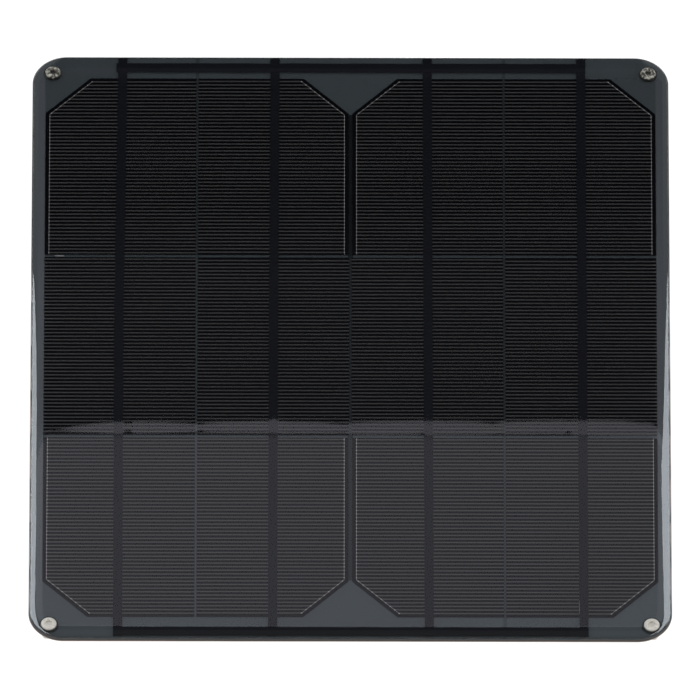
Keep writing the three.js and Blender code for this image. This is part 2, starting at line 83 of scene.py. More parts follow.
# ------------------------------------------------------------------ objects
def box_mm(name):
    """Lowest and highest corner of a CAD piece, in mm."""
    low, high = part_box(name)
    return [c / MM for c in low], [c / MM for c in high]


def middle(low, high, axis):
    return (low[axis] + high[axis]) / 2


def link_mesh(name, verts, faces, materials):
    mesh = bpy.data.meshes.new(name)
    mesh.from_pydata(verts, [], faces)
    obj = bpy.data.objects.new(name, mesh)
    bpy.context.scene.collection.objects.link(obj)
    for item in materials:
        mesh.materials.append(item)
    return obj


def settle(obj, body, slot=None, replaces=(), angle=35.0, smooth=True):
    mesh = obj.data
    bm = bmesh.new()
    bm.from_mesh(mesh)
    bmesh.ops.remove_doubles(bm, verts=bm.verts, dist=1e-8)
    bmesh.ops.recalc_face_normals(bm, faces=bm.faces)
    bm.to_mesh(mesh)
    bm.free()
    mesh.polygons.foreach_set("use_smooth", [smooth] * len(mesh.polygons))
    if smooth:
        mesh.set_sharp_from_angle(angle=math.radians(angle))
    mesh.update()
    if replaces:
        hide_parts(*replaces)
    if body:
        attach(obj, body)


def make(name, shape, materials, body="panel", **details):
    """An object from (verts, faces) in mm; details go to settle()."""
    verts, faces = shape
    obj = link_mesh(name, [(x * MM, y * MM, z * MM) for x, y, z in verts], faces, materials)
    settle(obj, body, **details)
    return obj


def carve(obj, shape, operation="DIFFERENCE"):
    """Cut shape from obj, or join it, or keep what they have in common."""
    tool = make("tool", shape, [], body=None, smooth=False)
    mod = obj.modifiers.new("carve", "BOOLEAN")
    mod.operation, mod.solver, mod.object = operation, "EXACT", tool
    bpy.context.view_layer.update()
    graph = bpy.context.evaluated_depsgraph_get()
    made = bpy.data.meshes.new_from_object(obj.evaluated_get(graph))
    obj.modifiers.clear()
    obj.data = made
    bpy.data.objects.remove(tool)


# ------------------------------------------------------------------ flat outlines
def rounded_rect(width, height, radius, steps, cx=0.0, cy=0.0, along=0.0):
    """Anticlockwise; `along` adds points on the straight sides at about that spacing."""
    points = []
    radius = max(radius, 1e-4)
    across, rise = width / 2 - radius, height / 2 - radius
    corners = ((across, rise, 0), (-across, rise, 90), (-across, -rise, 180), (across, -rise, 270))
    for corner_x, corner_y, first in corners:
        for i in range(steps + 1):
            angle = math.radians(first + 90 * i / steps)
            points.append((cx + corner_x + radius * math.cos(angle),
                           cy + corner_y + radius * math.sin(angle)))
    if not along:
        return points
    out = []
    for p, q in zip(points, points[1:] + points[:1]):
        out.append(p)
        gap = math.dist(p, q)
        if gap > 1.5 * along:
            out += between(p, q, round(gap / along))[1:]
    return out


def between(p, q, count):
    """p and the points that part the line from p to q into `count` steps, without q."""
    return [(p[0] + (q[0] - p[0]) * j / count, p[1] + (q[1] - p[1]) * j / count)
            for j in range(count)]


def inside_depth(x, y, width, height, radius):
    """How far (x, y) lies inside a rounded rectangle centred on the origin."""
    over_x, over_y = abs(x) - (width / 2 - radius), abs(y) - (height / 2 - radius)
    outside = math.hypot(max(over_x, 0.0), max(over_y, 0.0))
    return -(min(max(over_x, over_y), 0.0) + outside - radius)


def circle(cx, cy, radius, count):
    return [(cx + radius * math.cos(2 * math.pi * i / count),
             cy + radius * math.sin(2 * math.pi * i / count)) for i in range(count)]


def hexagon(flats, cx, cy, turn=0.0):
    """`flats` is the width across flats."""
    radius = flats / math.sqrt(3)
    return [(radius * math.cos(math.pi / 3 * i + turn) + cx,
             radius * math.sin(math.pi / 3 * i + turn) + cy) for i in range(6)]


# ------------------------------------------------------------------ shapes: (verts, faces)
def field_solid(loops, keep, top, bottom):
    """Closed solid between two height fields over one flat triangulation."""
    verts, edges = [], []
    for loop in loops:
        base = len(verts)
        verts += [Vector(p) for p in loop]
        edges += [(base + i, base + (i + 1) % len(loop)) for i in range(len(loop))]
    flat, _, tris, *_ = delaunay_2d_cdt(verts, edges, [], 0, 1e-6)
    kept = []
    for tri in tris:
        a, b, c = (flat[i] for i in tri)
        area = (b.x - a.x) * (c.y - a.y) - (c.x - a.x) * (b.y - a.y)
        if abs(area) < 1e-9 or not keep((a.x + b.x + c.x) / 3, (a.y + b.y + c.y) / 3):
            continue
        kept.append(tuple(tri) if area > 0 else tuple(reversed(tri)))
    used = sorted({i for tri in kept for i in tri})
    index = {v: k for k, v in enumerate(used)}
    count = len(used)
    out = [(flat[i].x, flat[i].y, top(flat[i].x, flat[i].y)) for i in used]
    out += [(flat[i].x, flat[i].y, bottom(flat[i].x, flat[i].y)) for i in used]
    faces, sides = [], {}
    for tri in kept:
        a, b, c = (index[i] for i in tri)
        faces += [(a, b, c), (c + count, b + count, a + count)]
        sides.update(dict.fromkeys(((a, b), (b, c), (c, a))))
    # an edge met in one direction only is on the outline, and gets a wall
    for a, b in sides:
        if (b, a) not in sides:
            faces.append((b, a, a + count, b + count))
    return out, faces


def loft(rings):
    """Closed skin through rings of 3-D points."""
    n = len(rings[0])
    verts = [p for ring in rings for p in ring]
    faces = []
    for k in range(len(rings) - 1):
        for i in range(n):
            j = (i + 1) % n
            faces.append((k * n + i, k * n + j, (k + 1) * n + j, (k + 1) * n + i))
    faces.append(tuple(reversed(range(n))))
    faces.append(tuple((len(rings) - 1) * n + i for i in range(n)))
    return verts, faces


def lathe(profile, count, cx, cy, closed=False):
    """Revolve (radius, z) points about Z. Points on the axis become one vertex."""
    verts, rows, faces = [], [], []
    for radius, z in profile:
        if radius < 1e-6:
            rows.append([len(verts)] * count)
            verts.append((cx, cy, z))
        else:
            rows.append(list(range(len(verts), len(verts) + count)))
            verts += [(x, y, z) for x, y in circle(cx, cy, radius, count)]
    for a, b in list(zip(rows, rows[1:])) + ([(rows[-1], rows[0])] if closed else []):
        for i in range(count):
            j = (i + 1) % count
            face = tuple(dict.fromkeys((a[i], a[j], b[j], b[i])))
            if len(face) > 2:
                faces.append(face)
    return verts, faces


def round_along_y(stations, x, z, count):
    """Round rod along Y through (radius, y) stations."""
    return loft([[(px, y, pz) for px, pz in circle(x, z, radius, count)]
                 for radius, y in stations])


def ring_across_y(y, width, height, radius, mid_z, steps=6):
    return [(x, y, z + mid_z) for x, z in rounded_rect(width, height, radius, steps)]


def prism(points, z0, z1):
    n = len(points)
    verts = [(x, y, z0) for x, y in points] + [(x, y, z1) for x, y in points]
    faces = [tuple(reversed(range(n))), tuple(range(n, 2 * n))]
    faces += [(i, (i + 1) % n, n + (i + 1) % n, n + i) for i in range(n)]
    return verts, faces


def cuboid(x0, x1, y0, y1, z0, z1):
    return prism([(x0, y0), (x1, y0), (x1, y1), (x0, y1)], z0, z1)


def line_prism(path, width, z0, z1):
    """A mitred line of the given width along a flat path."""
    left, right = [], []
    for i, p in enumerate(path):
        before, after = path[max(i - 1, 0)], path[min(i + 1, len(path) - 1)]
        arrive = Vector((p[0] - before[0], p[1] - before[1]))
        leave = Vector((after[0] - p[0], after[1] - p[1]))
        if i == 0:
            arrive = leave
        if i == len(path) - 1:
            leave = arrive
        arrive, leave = arrive.normalized(), leave.normalized()
        normal = Vector((-arrive.y, arrive.x))
        mitre = (normal + Vector((-leave.y, leave.x))).normalized()
        mitre *= width / 2 / max(mitre.dot(normal), 0.3)
        left.append((p[0] + mitre.x, p[1] + mitre.y))
        right.append((p[0] - mitre.x, p[1] - mitre.y))
    return prism(right + left[::-1], z0, z1)


def join_parts(parts):
    verts, faces = [], []
    for part_verts, part_faces in parts:
        base = len(verts)
        verts += part_verts
        faces += [tuple(base + i for i in face) for face in part_faces]
    return verts, faces


# ------------------------------------------------------------------ shader nodes
WHITE = (1, 1, 1)


def grey(value):
    return (value, value, value)


class Net:
    """A node tree with a short method for each common node. Colours are (r, g, b)."""

    def __init__(self, tree):
        self.tree = tree
        tree.nodes.clear()

    def add(self, kind, ins=None, **props):
        made = self.tree.nodes.new(kind)
        for key, value in props.items():
            setattr(made, key, value)
        for key, value in (ins or {}).items():
            socket = made.inputs[key]
            if isinstance(value, bpy.types.NodeSocket):
                self.tree.links.new(value, socket)
            else:
                socket.default_value = (*value, 1.0) if socket.type == "RGBA" else value
        return made

    def get(self, kind, ins=None, **props):
        return self.add(kind, ins, **props).outputs[0]

    def math(self, operation, a, b=0.0, c=0.0, clamp=False):
        return self.get("ShaderNodeMath", {0: a, 1: b, 2: c}, operation=operation, use_clamp=clamp)

    def plus(self, a, b):
        return self.math("ADD", a, b)

    def minus(self, a, b):
        return self.math("SUBTRACT", a, b)

    def times(self, a, b):
        return self.math("MULTIPLY", a, b)

    def over(self, a, b):
        return self.math("DIVIDE", a, b)

    def size(self, a):
        return self.math("ABSOLUTE", a)

    def length(self, a, b):
        return self.math("SQRT", self.plus(self.times(a, a), self.times(b, b)))

    def around(self, value, middle, spread, clamp=False):
        """Takes 0..1 to middle - spread..middle + spread."""
        return self.math("MULTIPLY_ADD", value, 2 * spread, middle - spread, clamp)

    def within_mm(self, value, half):
        return self.math("LESS_THAN", self.size(value), half * MM)

    def fade(self, value, start, stop, low=0.0, high=1.0, smooth=False):
        """low at `start`, high at `stop`, held beyond both."""
        ins = {"Value": value, "From Min": start, "From Max": stop, "To Min": low, "To Max": high}
        kind = "SMOOTHSTEP" if smooth else "LINEAR"
        return self.get("ShaderNodeMapRange", ins, interpolation_type=kind)

    def fade_mm(self, value, start, stop, **rest):
        return self.fade(value, start * MM, stop * MM, **rest)

    def ramp(self, value, stops):
        made = self.add("ShaderNodeValToRGB", {"Fac": value})
        elements = made.color_ramp.elements
        while len(elements) < len(stops):
            elements.new(0.5)
        for element, (position, colour) in zip(elements, stops):
            element.position, element.color = position, (*colour, 1.0)
        return made.outputs["Color"]

    def mix(self, factor, a, b):
        return self.add("ShaderNodeMix", {0: factor, 6: a, 7: b}, data_type="RGBA").outputs[2]

    def tint(self, colour, factor):
        return self.get("ShaderNodeVectorMath", {0: colour, 1: factor}, operation="MULTIPLY")

    def split(self, vector):
        return list(self.add("ShaderNodeSeparateXYZ", {0: vector}).outputs)

    def coords(self):
        return self.add("ShaderNodeTexCoord").outputs["Object"]

    def stretched(self, vector, scale):
        return self.get("ShaderNodeMapping", {"Vector": vector, "Scale": scale})

    def noise(self, vector, scale, detail, rough=0.55):
        return self.add("ShaderNodeTexNoise", {"Vector": vector, "Scale": scale, "Detail": detail,
                                               "Roughness": rough}).outputs["Fac"]

    def wave(self, vector, direction):
        ins = {"Vector": vector, "Scale": 330.0, "Distortion": 0.6, "Detail": 1.0}
        return self.add("ShaderNodeTexWave", ins, bands_direction=direction).outputs["Fac"]

    def bump(self, height, strength, depth_mm):
        return self.get("ShaderNodeBump", {"Strength": strength, "Distance": depth_mm * MM,
                                           "Height": height})

    def emission(self, colour, strength):
        return self.get("ShaderNodeEmission", {"Color": colour, "Strength": strength})

    def transparent(self, colour=WHITE):
        return self.get("ShaderNodeBsdfTransparent", {"Color": colour})

    def mix_shader(self, factor, a, b):
        return self.get("ShaderNodeMixShader", {0: factor, 1: a, 2: b})

    def end(self, shader, kind="ShaderNodeOutputMaterial"):
        out = self.tree.nodes.new(kind)
        self.tree.links.new(shader, out.inputs["Surface"])

    def surface(self, colour, rough, spec, metal=0.0, **others):
        self.end(self.get("ShaderNodeBsdfPrincipled", {
            "Base Color": colour, "Roughness": rough, "Specular IOR Level": spec,
            "Metallic": metal, **others}))


def new_material(name):
    made = bpy.data.materials.new(name)
    made.use_nodes = True
    return made, Net(made.node_tree)


# ------------------------------------------------------------------ finishes
def tuned(name, base, rough, *, grain, vary=0.12, bump=0.02, spec=0.5, metal=0.0,
          broad=40.0, broad_vary=0.1, stretch=(1, 1, 1)):
    """Broad tone drift, fine grain and a matching bump. `grain` and `broad` are noise scales."""
    made, net = new_material(name)
    place = net.stretched(net.coords(), stretch)
    fine = net.noise(place, scale=grain, detail=4.0)
    wide = net.noise(place, scale=broad, detail=2.0)
    shade = net.times(net.around(fine, 1.0, vary), net.around(wide, 1.0, broad_vary))
    # both ends of this mix are the base colour; the drift comes from the shade
    colour = net.tint(net.mix(wide, base, base), shade)
    roughness = net.around(fine, rough, spread=0.08, clamp=True)
    normal = net.bump(fine, strength=0.6, depth_mm=bump)
    net.surface(colour, roughness, spec, metal, IOR=1.5, Normal=normal)
    return made


# the screws as the shaders see them: half spacings about a centre a little below the origin
SHADER_SCREW_X, SHADER_SCREW_Y, SHADER_SHIFT_Y = 103, 121.25, 1.05


def screw_distance(net, x, y):
    """Distance in the panel's plane to the nearest screw axis."""
    across = net.minus(net.size(x), SHADER_SCREW_X * MM)
    shifted = net.plus(y, SHADER_SHIFT_Y * MM)
    return net.length(across, net.minus(net.size(shifted), SHADER_SCREW_Y * MM))


def front_shade(net, place, shade):
    """Painted light and shade on the board's front."""
    x, y, _ = net.split(place)
    # painted sheen: the board is lighter towards -Y, from about y = -32 mm
    lower_sheen = net.fade_mm(y, -32, -41, low=1.0, high=1.38, smooth=True)
    distance = screw_distance(net, x, y)
    # painted shade: a dark ring round each screw, deeper on the two towards -Y
    ring_shade_tone = net.fade_mm(y, -10, 10, low=0.30, high=0.85)
    ring = net.fade_mm(distance, 3.0, 3.6, low=ring_shade_tone, smooth=True)
    shade = net.times(shade, net.times(lower_sheen, ring))
    # painted shade: the gaps between columns are darker than the margins, first the middle one
    gap, rows = net.within_mm(x, 0.95), net.within_mm(y, 102.4)
    depth = net.ramp(net.math("MULTIPLY_ADD", y, 1 / 0.24, 0.5), [
        (0.335, grey(0.36)), (0.34, grey(0.55)), (0.66, grey(0.55)), (0.665, grey(0.2))])
    shade = net.times(shade, net.mix(net.times(gap, rows), WHITE, depth))
    # then the outer two, also painted shade: the +X one all along, the -X one only beside the first
    # row
    outer = net.within_mm(net.minus(net.size(x), 52.95 * MM), 0.6)
    upper = net.times(outer, net.math("GREATER_THAN", y, 39 * MM))
    right = net.times(outer, net.math("GREATER_THAN", x, 0.0))
    return net.times(shade, net.mix(net.math("MAXIMUM", upper, right), WHITE, grey(0.66)))


def weave_material(name, base, rough, spec, strength, front=False):
    """Solder mask over woven glass: the weave shows as a faint raised grid."""
    made, net = new_material(name)
    place = net.coords()
    weave = net.math("MAXIMUM", net.wave(place, "X"), net.wave(place, "Y"))
    fine = net.noise(place, scale=1400.0, detail=3.0)
    wide = net.noise(place, scale=22.0, detail=3.0)
    shade = net.times(net.around(fine, 1.0, spread=0.08), net.around(wide, 1.0, spread=0.08))
    shade = net.times(shade, net.around(weave, 0.99, spread=0.025))
    # on the front, painted light and shade go over the mask's tone
    if front:
        shade = front_shade(net, place, shade)
    hue = net.mix(wide, base, (base[0] * 0.95, base[1] * 1.02, base[2]))
    colour = net.tint(hue, shade)
    height = net.plus(net.times(weave, 0.6), net.times(fine, 0.4))
    normal = net.bump(height, strength, depth_mm=0.02)
    net.surface(colour, net.around(fine, rough, spread=0.06), spec, Normal=normal)
    return made


def edge_material():
    """Routed glass-epoxy edge: layered tan laminate, with dark mask run over its upper part and a
    painted highlight on its rim.
    """
    made, net = new_material("laminate_edge")
    place = net.coords()
    z = net.split(place)[2]
    lamina = net.noise(net.stretched(place, (60, 60, 9000)), scale=1.0, detail=2.0)
    fibre = net.noise(net.stretched(place, (1500, 1500, 5000)), scale=1.0, detail=2.0)
    wander = net.noise(net.stretched(place, (90, 90, 0)), scale=1.0, detail=3.0)
    tan = net.mix(lamina, (0.30, 0.215, 0.165), (0.50, 0.40, 0.34))
    tan = net.mix(net.times(fibre, 0.4), tan, (0.62, 0.50, 0.44))
    run_edge = net.around(wander, 0.37 * MM, spread=0.15 * MM)
    run = net.fade_mm(net.minus(z, run_edge), -0.05, 0.05)
    dark = net.mix(fibre, (0.038, 0.036, 0.036), (0.062, 0.056, 0.052))
    rim = net.fade_mm(z, 1.36, 1.44)
    colour = net.mix(run, tan, dark)
    # painted highlight: the rim is lighter along the lower part of both long sides
    x, y, _ = net.split(place)
    flank = net.fade_mm(net.size(x), 108.9, 109.4)
    lower = net.fade_mm(y, 36, 22)
    foot = net.fade_mm(y, -119, -112)
    rim_highlight = net.times(net.times(flank, lower), foot)
    colour = net.mix(rim, colour, net.mix(rim_highlight, (0.055, 0.056, 0.058), (0.36, 0.33, 0.31)))
    normal = net.bump(fibre, strength=0.5, depth_mm=0.03)
    net.surface(colour, rough=0.7, spec=0.2, Normal=normal)
    return made


def cell_material():
    """Coated silicon: blue-black, with faint saw lines and thickness drift."""
    made, net = new_material("silicon")
    place = net.coords()
    drift = net.noise(place, scale=14.0, detail=2.0)
    saw = net.noise(net.stretched(place, (25, 1800, 1)), scale=1.0, detail=2.0)
    pits = net.noise(place, scale=4000.0, detail=2.0)
    tone = net.ramp(drift, [(0.30, (0.0021, 0.0021, 0.0034)), (0.55, (0.0017, 0.0017, 0.0024)),
                            (0.75, (0.0024, 0.0022, 0.0032))])
    shade = net.times(net.around(saw, 1.0, spread=0.1), net.around(pits, 1.0, spread=0.15))
    colour = net.tint(tone, shade)
    normal = net.bump(pits, strength=0.3, depth_mm=0.004)
    net.surface(colour, net.around(pits, 0.40, spread=0.05), spec=0.0, Normal=normal)
    return made


def resin_material():
    """Clear resin: mirror by Fresnel over a clear body; the steep rim is tinted darker as painted
    shade.
    """
    made, net = new_material("resin")
    geometry = net.add("ShaderNodeNewGeometry").outputs
    normal_z = net.split(geometry["Normal"])[2]
    upward = net.math("GREATER_THAN", normal_z, 0.05)
    wide = net.noise(net.coords(), scale=30.0, detail=2.0)
    # painted shade: the clear body is tinted darker where the surface is steep
    tint = net.ramp(normal_z, [(0.30, grey(0.42)), (0.72, (0.66, 0.67, 0.67)),
                               (0.93, (0.93, 0.935, 0.935)), (0.985, (0.975, 0.98, 0.98))])
    clear = net.mix(upward, WHITE, tint)
    rough = net.around(wide, 0.017, spread=0.005)
    fresnel = net.times(net.get("ShaderNodeFresnel", {"IOR": 1.5}), upward)
    glossy = net.get("ShaderNodeBsdfGlossy", {"Color": WHITE, "Roughness": rough})
    body = net.transparent(clear)
    plain = net.transparent()
    outside = net.mix_shader(fresnel, body, glossy)
    net.end(net.mix_shader(geometry["Backfacing"], outside, plain))
    return made


def silver_material(name, gain):
    """Printed silver; gain sets its brightness, and the higher gains are painted sheen and
    highlight.
    """
    made, net = new_material(name)
    place = net.coords()
    fine = net.noise(place, scale=5000.0, detail=2.0)
    slow = net.noise(net.stretched(place, (60, 600, 1)), scale=1.0, detail=2.0)
    colour = net.tint(net.mix(slow, (0.0255, 0.0250, 0.0262), (0.0310, 0.0300, 0.0312)),
                      grey(gain))
    net.surface(colour, net.around(fine, 0.45, spread=0.1), spec=0.3)
    return made


PLATED_SPOTS = [(0.28, (0.30, 0.285, 0.255)), (0.42, (0.50, 0.485, 0.44)),
                (0.66, (0.60, 0.585, 0.545))]
# painted reflection: the top two screws' heads are mottled light and dark
REFLECTION_MOTTLE_SPOTS = [(0.40, (0.035, 0.034, 0.030)), (0.50, (0.13, 0.123, 0.108)),
              (0.60, (0.34, 0.33, 0.29)), (0.72, (0.44, 0.43, 0.38))]


def steel_material(name, shade_z=None, reflection_mottle=False):
    """Plated steel. With shade_z (mm) it is a screw head, with painted shade below that height and
    at its rim.
    """
    made, net = new_material(name)
    place = net.coords()
    fine = net.noise(place, scale=6000.0, detail=3.0)
    # on the top two screws these spots are a painted reflection mottle
    marks = net.noise(place, scale=1150.0 if reflection_mottle else 1500.0, detail=2.0 if reflection_mottle else 4.0,
                      rough=0.6)
    spots = net.ramp(marks, REFLECTION_MOTTLE_SPOTS if reflection_mottle else PLATED_SPOTS)
    if shade_z is not None:
        z = net.split(place)[2]
        # painted shade on the head's side and in its socket, below shade_z
        lit = net.fade_mm(z, shade_z, shade_z + 0.32)
        spots = net.mix(lit, (0.040, 0.039, 0.037), spots)
        x, y, _ = net.split(place)
        # painted shade round the head's rim, deeper on the top two screws
        rim = net.fade_mm(screw_distance(net, x, y), 2.35, 2.80, low=1.0,
                          high=0.22 if reflection_mottle else 0.42, smooth=True)
        spots = net.tint(spots, rim)
    colour = net.tint(spots, net.around(fine, 1.0, spread=0.08))
    normal = net.bump(marks, strength=0.35, depth_mm=0.02)
    plain = shade_z is None
    net.surface(colour, net.around(fine, 0.39, spread=0.09), spec=0.5 if plain else 0.18,
                metal=0.30 if plain else 0.0, Normal=normal)
    return made


HEAD_SHADE_Z = 2.30
# the "_low" silvers are for the third row of cells, painted lighter as a sheen
FINISH = {
    # the front mask carries painted light and shade from front_shade
    "mask_front": weave_material("slate_mask_front", (0.0312, 0.0365, 0.0415), rough=0.5,
                                 spec=0.0, strength=0.15, front=True),
    "mask_rear": weave_material("slate_mask_rear", (0.0300, 0.0350, 0.0390), rough=0.42,
                                spec=0.45, strength=0.35),
    "edge": edge_material(),
    "cell": cell_material(),
    "resin": resin_material(),
    "finger": silver_material("silver_print", gain=0.57),
    "finger_low": silver_material("silver_print_low", gain=0.99),
    # the line and pad silvers are the fingers' print painted brighter, as painted highlights
    "line": silver_material("silver_edge", gain=3.8),
    "line_low": silver_material("silver_edge_low", gain=5.4),
    "pad": silver_material("silver_pad", gain=6.0),
    "pad_low": silver_material("silver_pad_low", gain=9.0),
    "ribbon": tuned("tinned_copper", (0.42, 0.43, 0.44), rough=0.32, grain=2500, bump=0.01,
                    metal=1.0, stretch=(1, 0.2, 1)),
    "film": tuned("black_film", (0.0050, 0.0055, 0.0072), rough=0.6, grain=2200, vary=0.25,
                  broad=60, broad_vary=0.12, spec=0.0, bump=0.006),
    "steel": steel_material("plated_steel"),
    "screw_low": steel_material("plated_screw", HEAD_SHADE_Z),
    "screw_top": steel_material("reflection_mottled_screw", HEAD_SHADE_Z, reflection_mottle=True),
    "cap": tuned("moulded_cap", (0.012, 0.012, 0.0125), rough=0.52, grain=2600, vary=0.2,
                 bump=0.035, broad=60, spec=0.45),
    "diode": tuned("epoxy_package", grey(0.009), rough=0.5, grain=3500, bump=0.02),
    "rubber": tuned("boot_rubber", grey(0.016), rough=0.68, grain=1800, vary=0.18, bump=0.02,
                    spec=0.35),
    "sheath": tuned("cable_sheath", (0.0125, 0.0125, 0.013), rough=0.5, grain=1500, vary=0.15,
                    bump=0.012, stretch=(1, 0.15, 1), spec=0.4),
    "plug": tuned("plug_plastic", (0.017, 0.017, 0.018), rough=0.42, grain=2600, vary=0.15,
                  bump=0.015, spec=0.5),
    "brass": tuned("plated_contact", (0.78, 0.60, 0.30), rough=0.24, grain=5000, vary=0.1,
                   bump=0.004, metal=1.0),
    "solder": tuned("solder", (0.55, 0.55, 0.54), rough=0.3, grain=2200, vary=0.12, bump=0.03,
                    metal=0.9),
}

# ------------------------------------------------------------------ board
board_low, board_high = box_mm("backing_board")
BOARD_W, BOARD_H, BOARD_T = (b - a for a, b in zip(board_low, board_high))
BOARD_R = 12.0
EDGE_EASE = 0.14
SCREW_BORE = 1.62

SCREWS = {}
for key in ("tl", "tr", "bl", "br"):
    low, high = box_mm(f"corner_screw_{key}")
    SCREWS[key] = (middle(low, high, 0), middle(low, high, 1))


def clear_of_screws(x, y, radius):
    return all(math.hypot(x - a, y - b) > radius for a, b in SCREWS.values())


def board_depth(x, y):
    return inside_depth(x, y, BOARD_W, BOARD_H, BOARD_R)


def board_keep(x, y):
    return board_depth(x, y) > 0 and clear_of_screws(x, y, SCREW_BORE - 0.02)


def board_ease(x, y):
    return EDGE_EASE * max(0.0, 1 - board_depth(x, y) / EDGE_EASE)


def board_slot(points):
    """Material of a face: 0 front mask, 1 rear mask, 2 edge."""
    x, y, z = (sum(p[k] for p in points) / len(points) for k in range(3))
    depth = board_depth(x, y)
    heights = [p[2] for p in points]
    if max(heights) - min(heights) < 0.01:
        if z > BOARD_T / 2 and depth > 0.30:
            return 0
        if z < BOARD_T / 2 and depth > 0.2:
            return 1
    return 2


board_loops = [
    rounded_rect(BOARD_W - 2 * inset, BOARD_H - 2 * inset, BOARD_R - inset, 24, along=20)
    for inset in (0, EDGE_EASE, 0.45)]
board_loops += [circle(x, y, SCREW_BORE, 40) for x, y in SCREWS.values()]
board_shape = field_solid(board_loops, board_keep,
                          top=lambda x, y: board_high[2] - board_ease(x, y),
                          bottom=lambda x, y: board_low[2] + board_ease(x, y))
board = make("board", board_shape, [FINISH[k] for k in ("mask_front", "mask_rear", "edge")],
             slot="solder_mask_board", replaces=["backing_board"], angle=20, smooth=False)
for polygon, face in zip(board.data.polygons, board_shape[1]):
    polygon.material_index = board_slot([board_shape[0][i] for i in face])

# ------------------------------------------------------------------ clear coat
coat_low, coat_high = box_mm("front_coating")
COAT_W, COAT_H = coat_high[0] - coat_low[0], coat_high[1] - coat_low[1]
COAT_R = BOARD_R - (BOARD_W - COAT_W) / 2
# depth in from the rim, slope of the surface there; straight between rows
RIM_SLOPE = [
    (0.0, 3.2), (0.03, 2.4), (0.08, 1.5), (0.2, 0.86), (0.4, 0.50), (0.7, 0.33),
    (1.1, 0.235), (1.6, 0.172), (2.2, 0.118), (2.8, 0.088), (3.5, 0.070), (4.3, 0.050),
    (5.1, 0.031), (5.9, 0.015), (6.7, 0.004), (7.3, 0.0), (8.0, 0.0)]
COAT_HOLE = 3.02
HOLE_LIP = [0.0, 0.12, 0.3, 0.55, 0.9, 1.25]
POCKET_Z = 2.16


def rim_drops():
    """Height lost below the flat top at each depth, summed from the inside out."""
    table, total = {RIM_SLOPE[-1][0]: 0.0}, 0.0
    for (d0, s0), (d1, s1) in zip(RIM_SLOPE[-2::-1], RIM_SLOPE[:0:-1]):
        total += (s0 + s1) / 2 * (d1 - d0)
        table[d0] = total
    return table


RIM_DROP = rim_drops()


def rim_at(depth):
    """Slope of the coat and its drop below the flat top; the drop is the slope's integral."""
    for (d0, s0), (d1, s1) in zip(RIM_SLOPE, RIM_SLOPE[1:]):
        if depth <= d1:
            step = depth - d0
            share = step / (d1 - d0)
            drop = RIM_DROP[d0] - (s0 * step + (s1 - s0) * step * share / 2)
            return s0 + (s1 - s0) * step / (d1 - d0), drop
    return 0.0, 0.0


def coat_depth(x, y):
    return inside_depth(x, y, COAT_W, COAT_H, COAT_R)


def coat_top(x, y):
    z = coat_high[2] - rim_at(max(coat_depth(x, y), 0.0))[1]
    for a, b in SCREWS.values():
        outside = math.hypot(x - a, y - b) - COAT_HOLE
        if outside < 0.9:
            z -= 0.012 * (1 - max(outside, 0.0) / 0.9) ** 2
    return z


# the hollow under the coat: a box round the cells, crossed by a longer one for the strips
GAP = 0.06
cells_x = max(abs(box_mm("cell_r1c1")[0][0]), abs(box_mm("cell_r1c4")[1][0])) + GAP
cells_y0, cells_y1 = box_mm("cell_r3c1")[0][1] - GAP, box_mm("cell_r1c1")[1][1] + GAP
low, high = box_mm("mask_strip_top")
strip_x0, strip_x1 = low[0] - GAP, high[0] + GAP
strip_y = box_mm("mask_strip_c1")[1][1] + 0.05


def pocket_outline(grow):
    outer, y0, y1, reach = cells_x + grow, cells_y0 - grow, cells_y1 + grow, strip_y + grow
    x0, x1 = strip_x0 - grow, strip_x1 + grow
    points = [(-outer, y0), (x0, y0), (x0, -reach), (x1, -reach), (x1, y0), (outer, y0),
              (outer, y1), (x1, y1), (x1, reach), (x0, reach), (x0, y1), (-outer, y1)]
    out = []
    for p, q in zip(points, points[1:] + points[:1]):
        out += between(p, q, max(1, round(math.dist(p, q) / 2.5)))
    return out


def coat_under(x, y):
    slack = 0.001
    over_cells = abs(x) < cells_x + slack and cells_y0 - slack < y < cells_y1 + slack
    over_strips = strip_x0 - slack < x < strip_x1 + slack and abs(y) < strip_y + slack
    return POCKET_Z if over_cells or over_strips else coat_low[2]


def coat_keep(x, y):
    return coat_depth(x, y) > 0 and clear_of_screws(x, y, COAT_HOLE - 0.01)


coat_loops = [rounded_rect(COAT_W - 2 * d, COAT_H - 2 * d, COAT_R - d, 44, along=8)
              for d, _ in RIM_SLOPE]
coat_loops += [circle(x, y, COAT_HOLE + lip, 48) for x, y in SCREWS.values() for lip in HOLE_LIP]
coat_loops += [pocket_outline(0.0), pocket_outline(0.1)]
make("clear_coat", field_solid(coat_loops, coat_keep, coat_top, coat_under), [FINISH["resin"]],
     slot="clear_resin", replaces=["front_coating"], angle=40)

# ------------------------------------------------------------------ cells and printed silver
FINGER_COUNT, FINGER_PITCH, FINGER_W = 50, 1.5462, 0.56
FINGER_END = 0.04
LINE_INSET, LINE_W = 1.45, 0.17
CORNER_CUT = 15.5
PRINT_Z0, PRINT_Z1 = 0.0005, 0.012
# the line and the pads stand this much above the fingers
LINE_RISE, PAD_RISE = 0.002, 0.004
# by row: distance of the first finger from the cell's edge
FIRST_FINGER = {1: 0.70, 2: 0.99, 3: 0.85}
# by row and column: how far each cell's print is shifted in Y
PRINT_SHIFT = {
    (1, 1): 0.05, (1, 2): 0.37, (1, 3): 0.22, (1, 4): 0.29,
    (2, 1): 0.07, (2, 2): -0.43, (2, 3): 0.09, (2, 4): -0.56,
    (3, 1): -0.05, (3, 2): 0.12, (3, 3): 0.0, (3, 4): -0.05}


def repaint(obj, finish):
    obj.data.materials.clear()
    obj.data.materials.append(FINISH[finish])


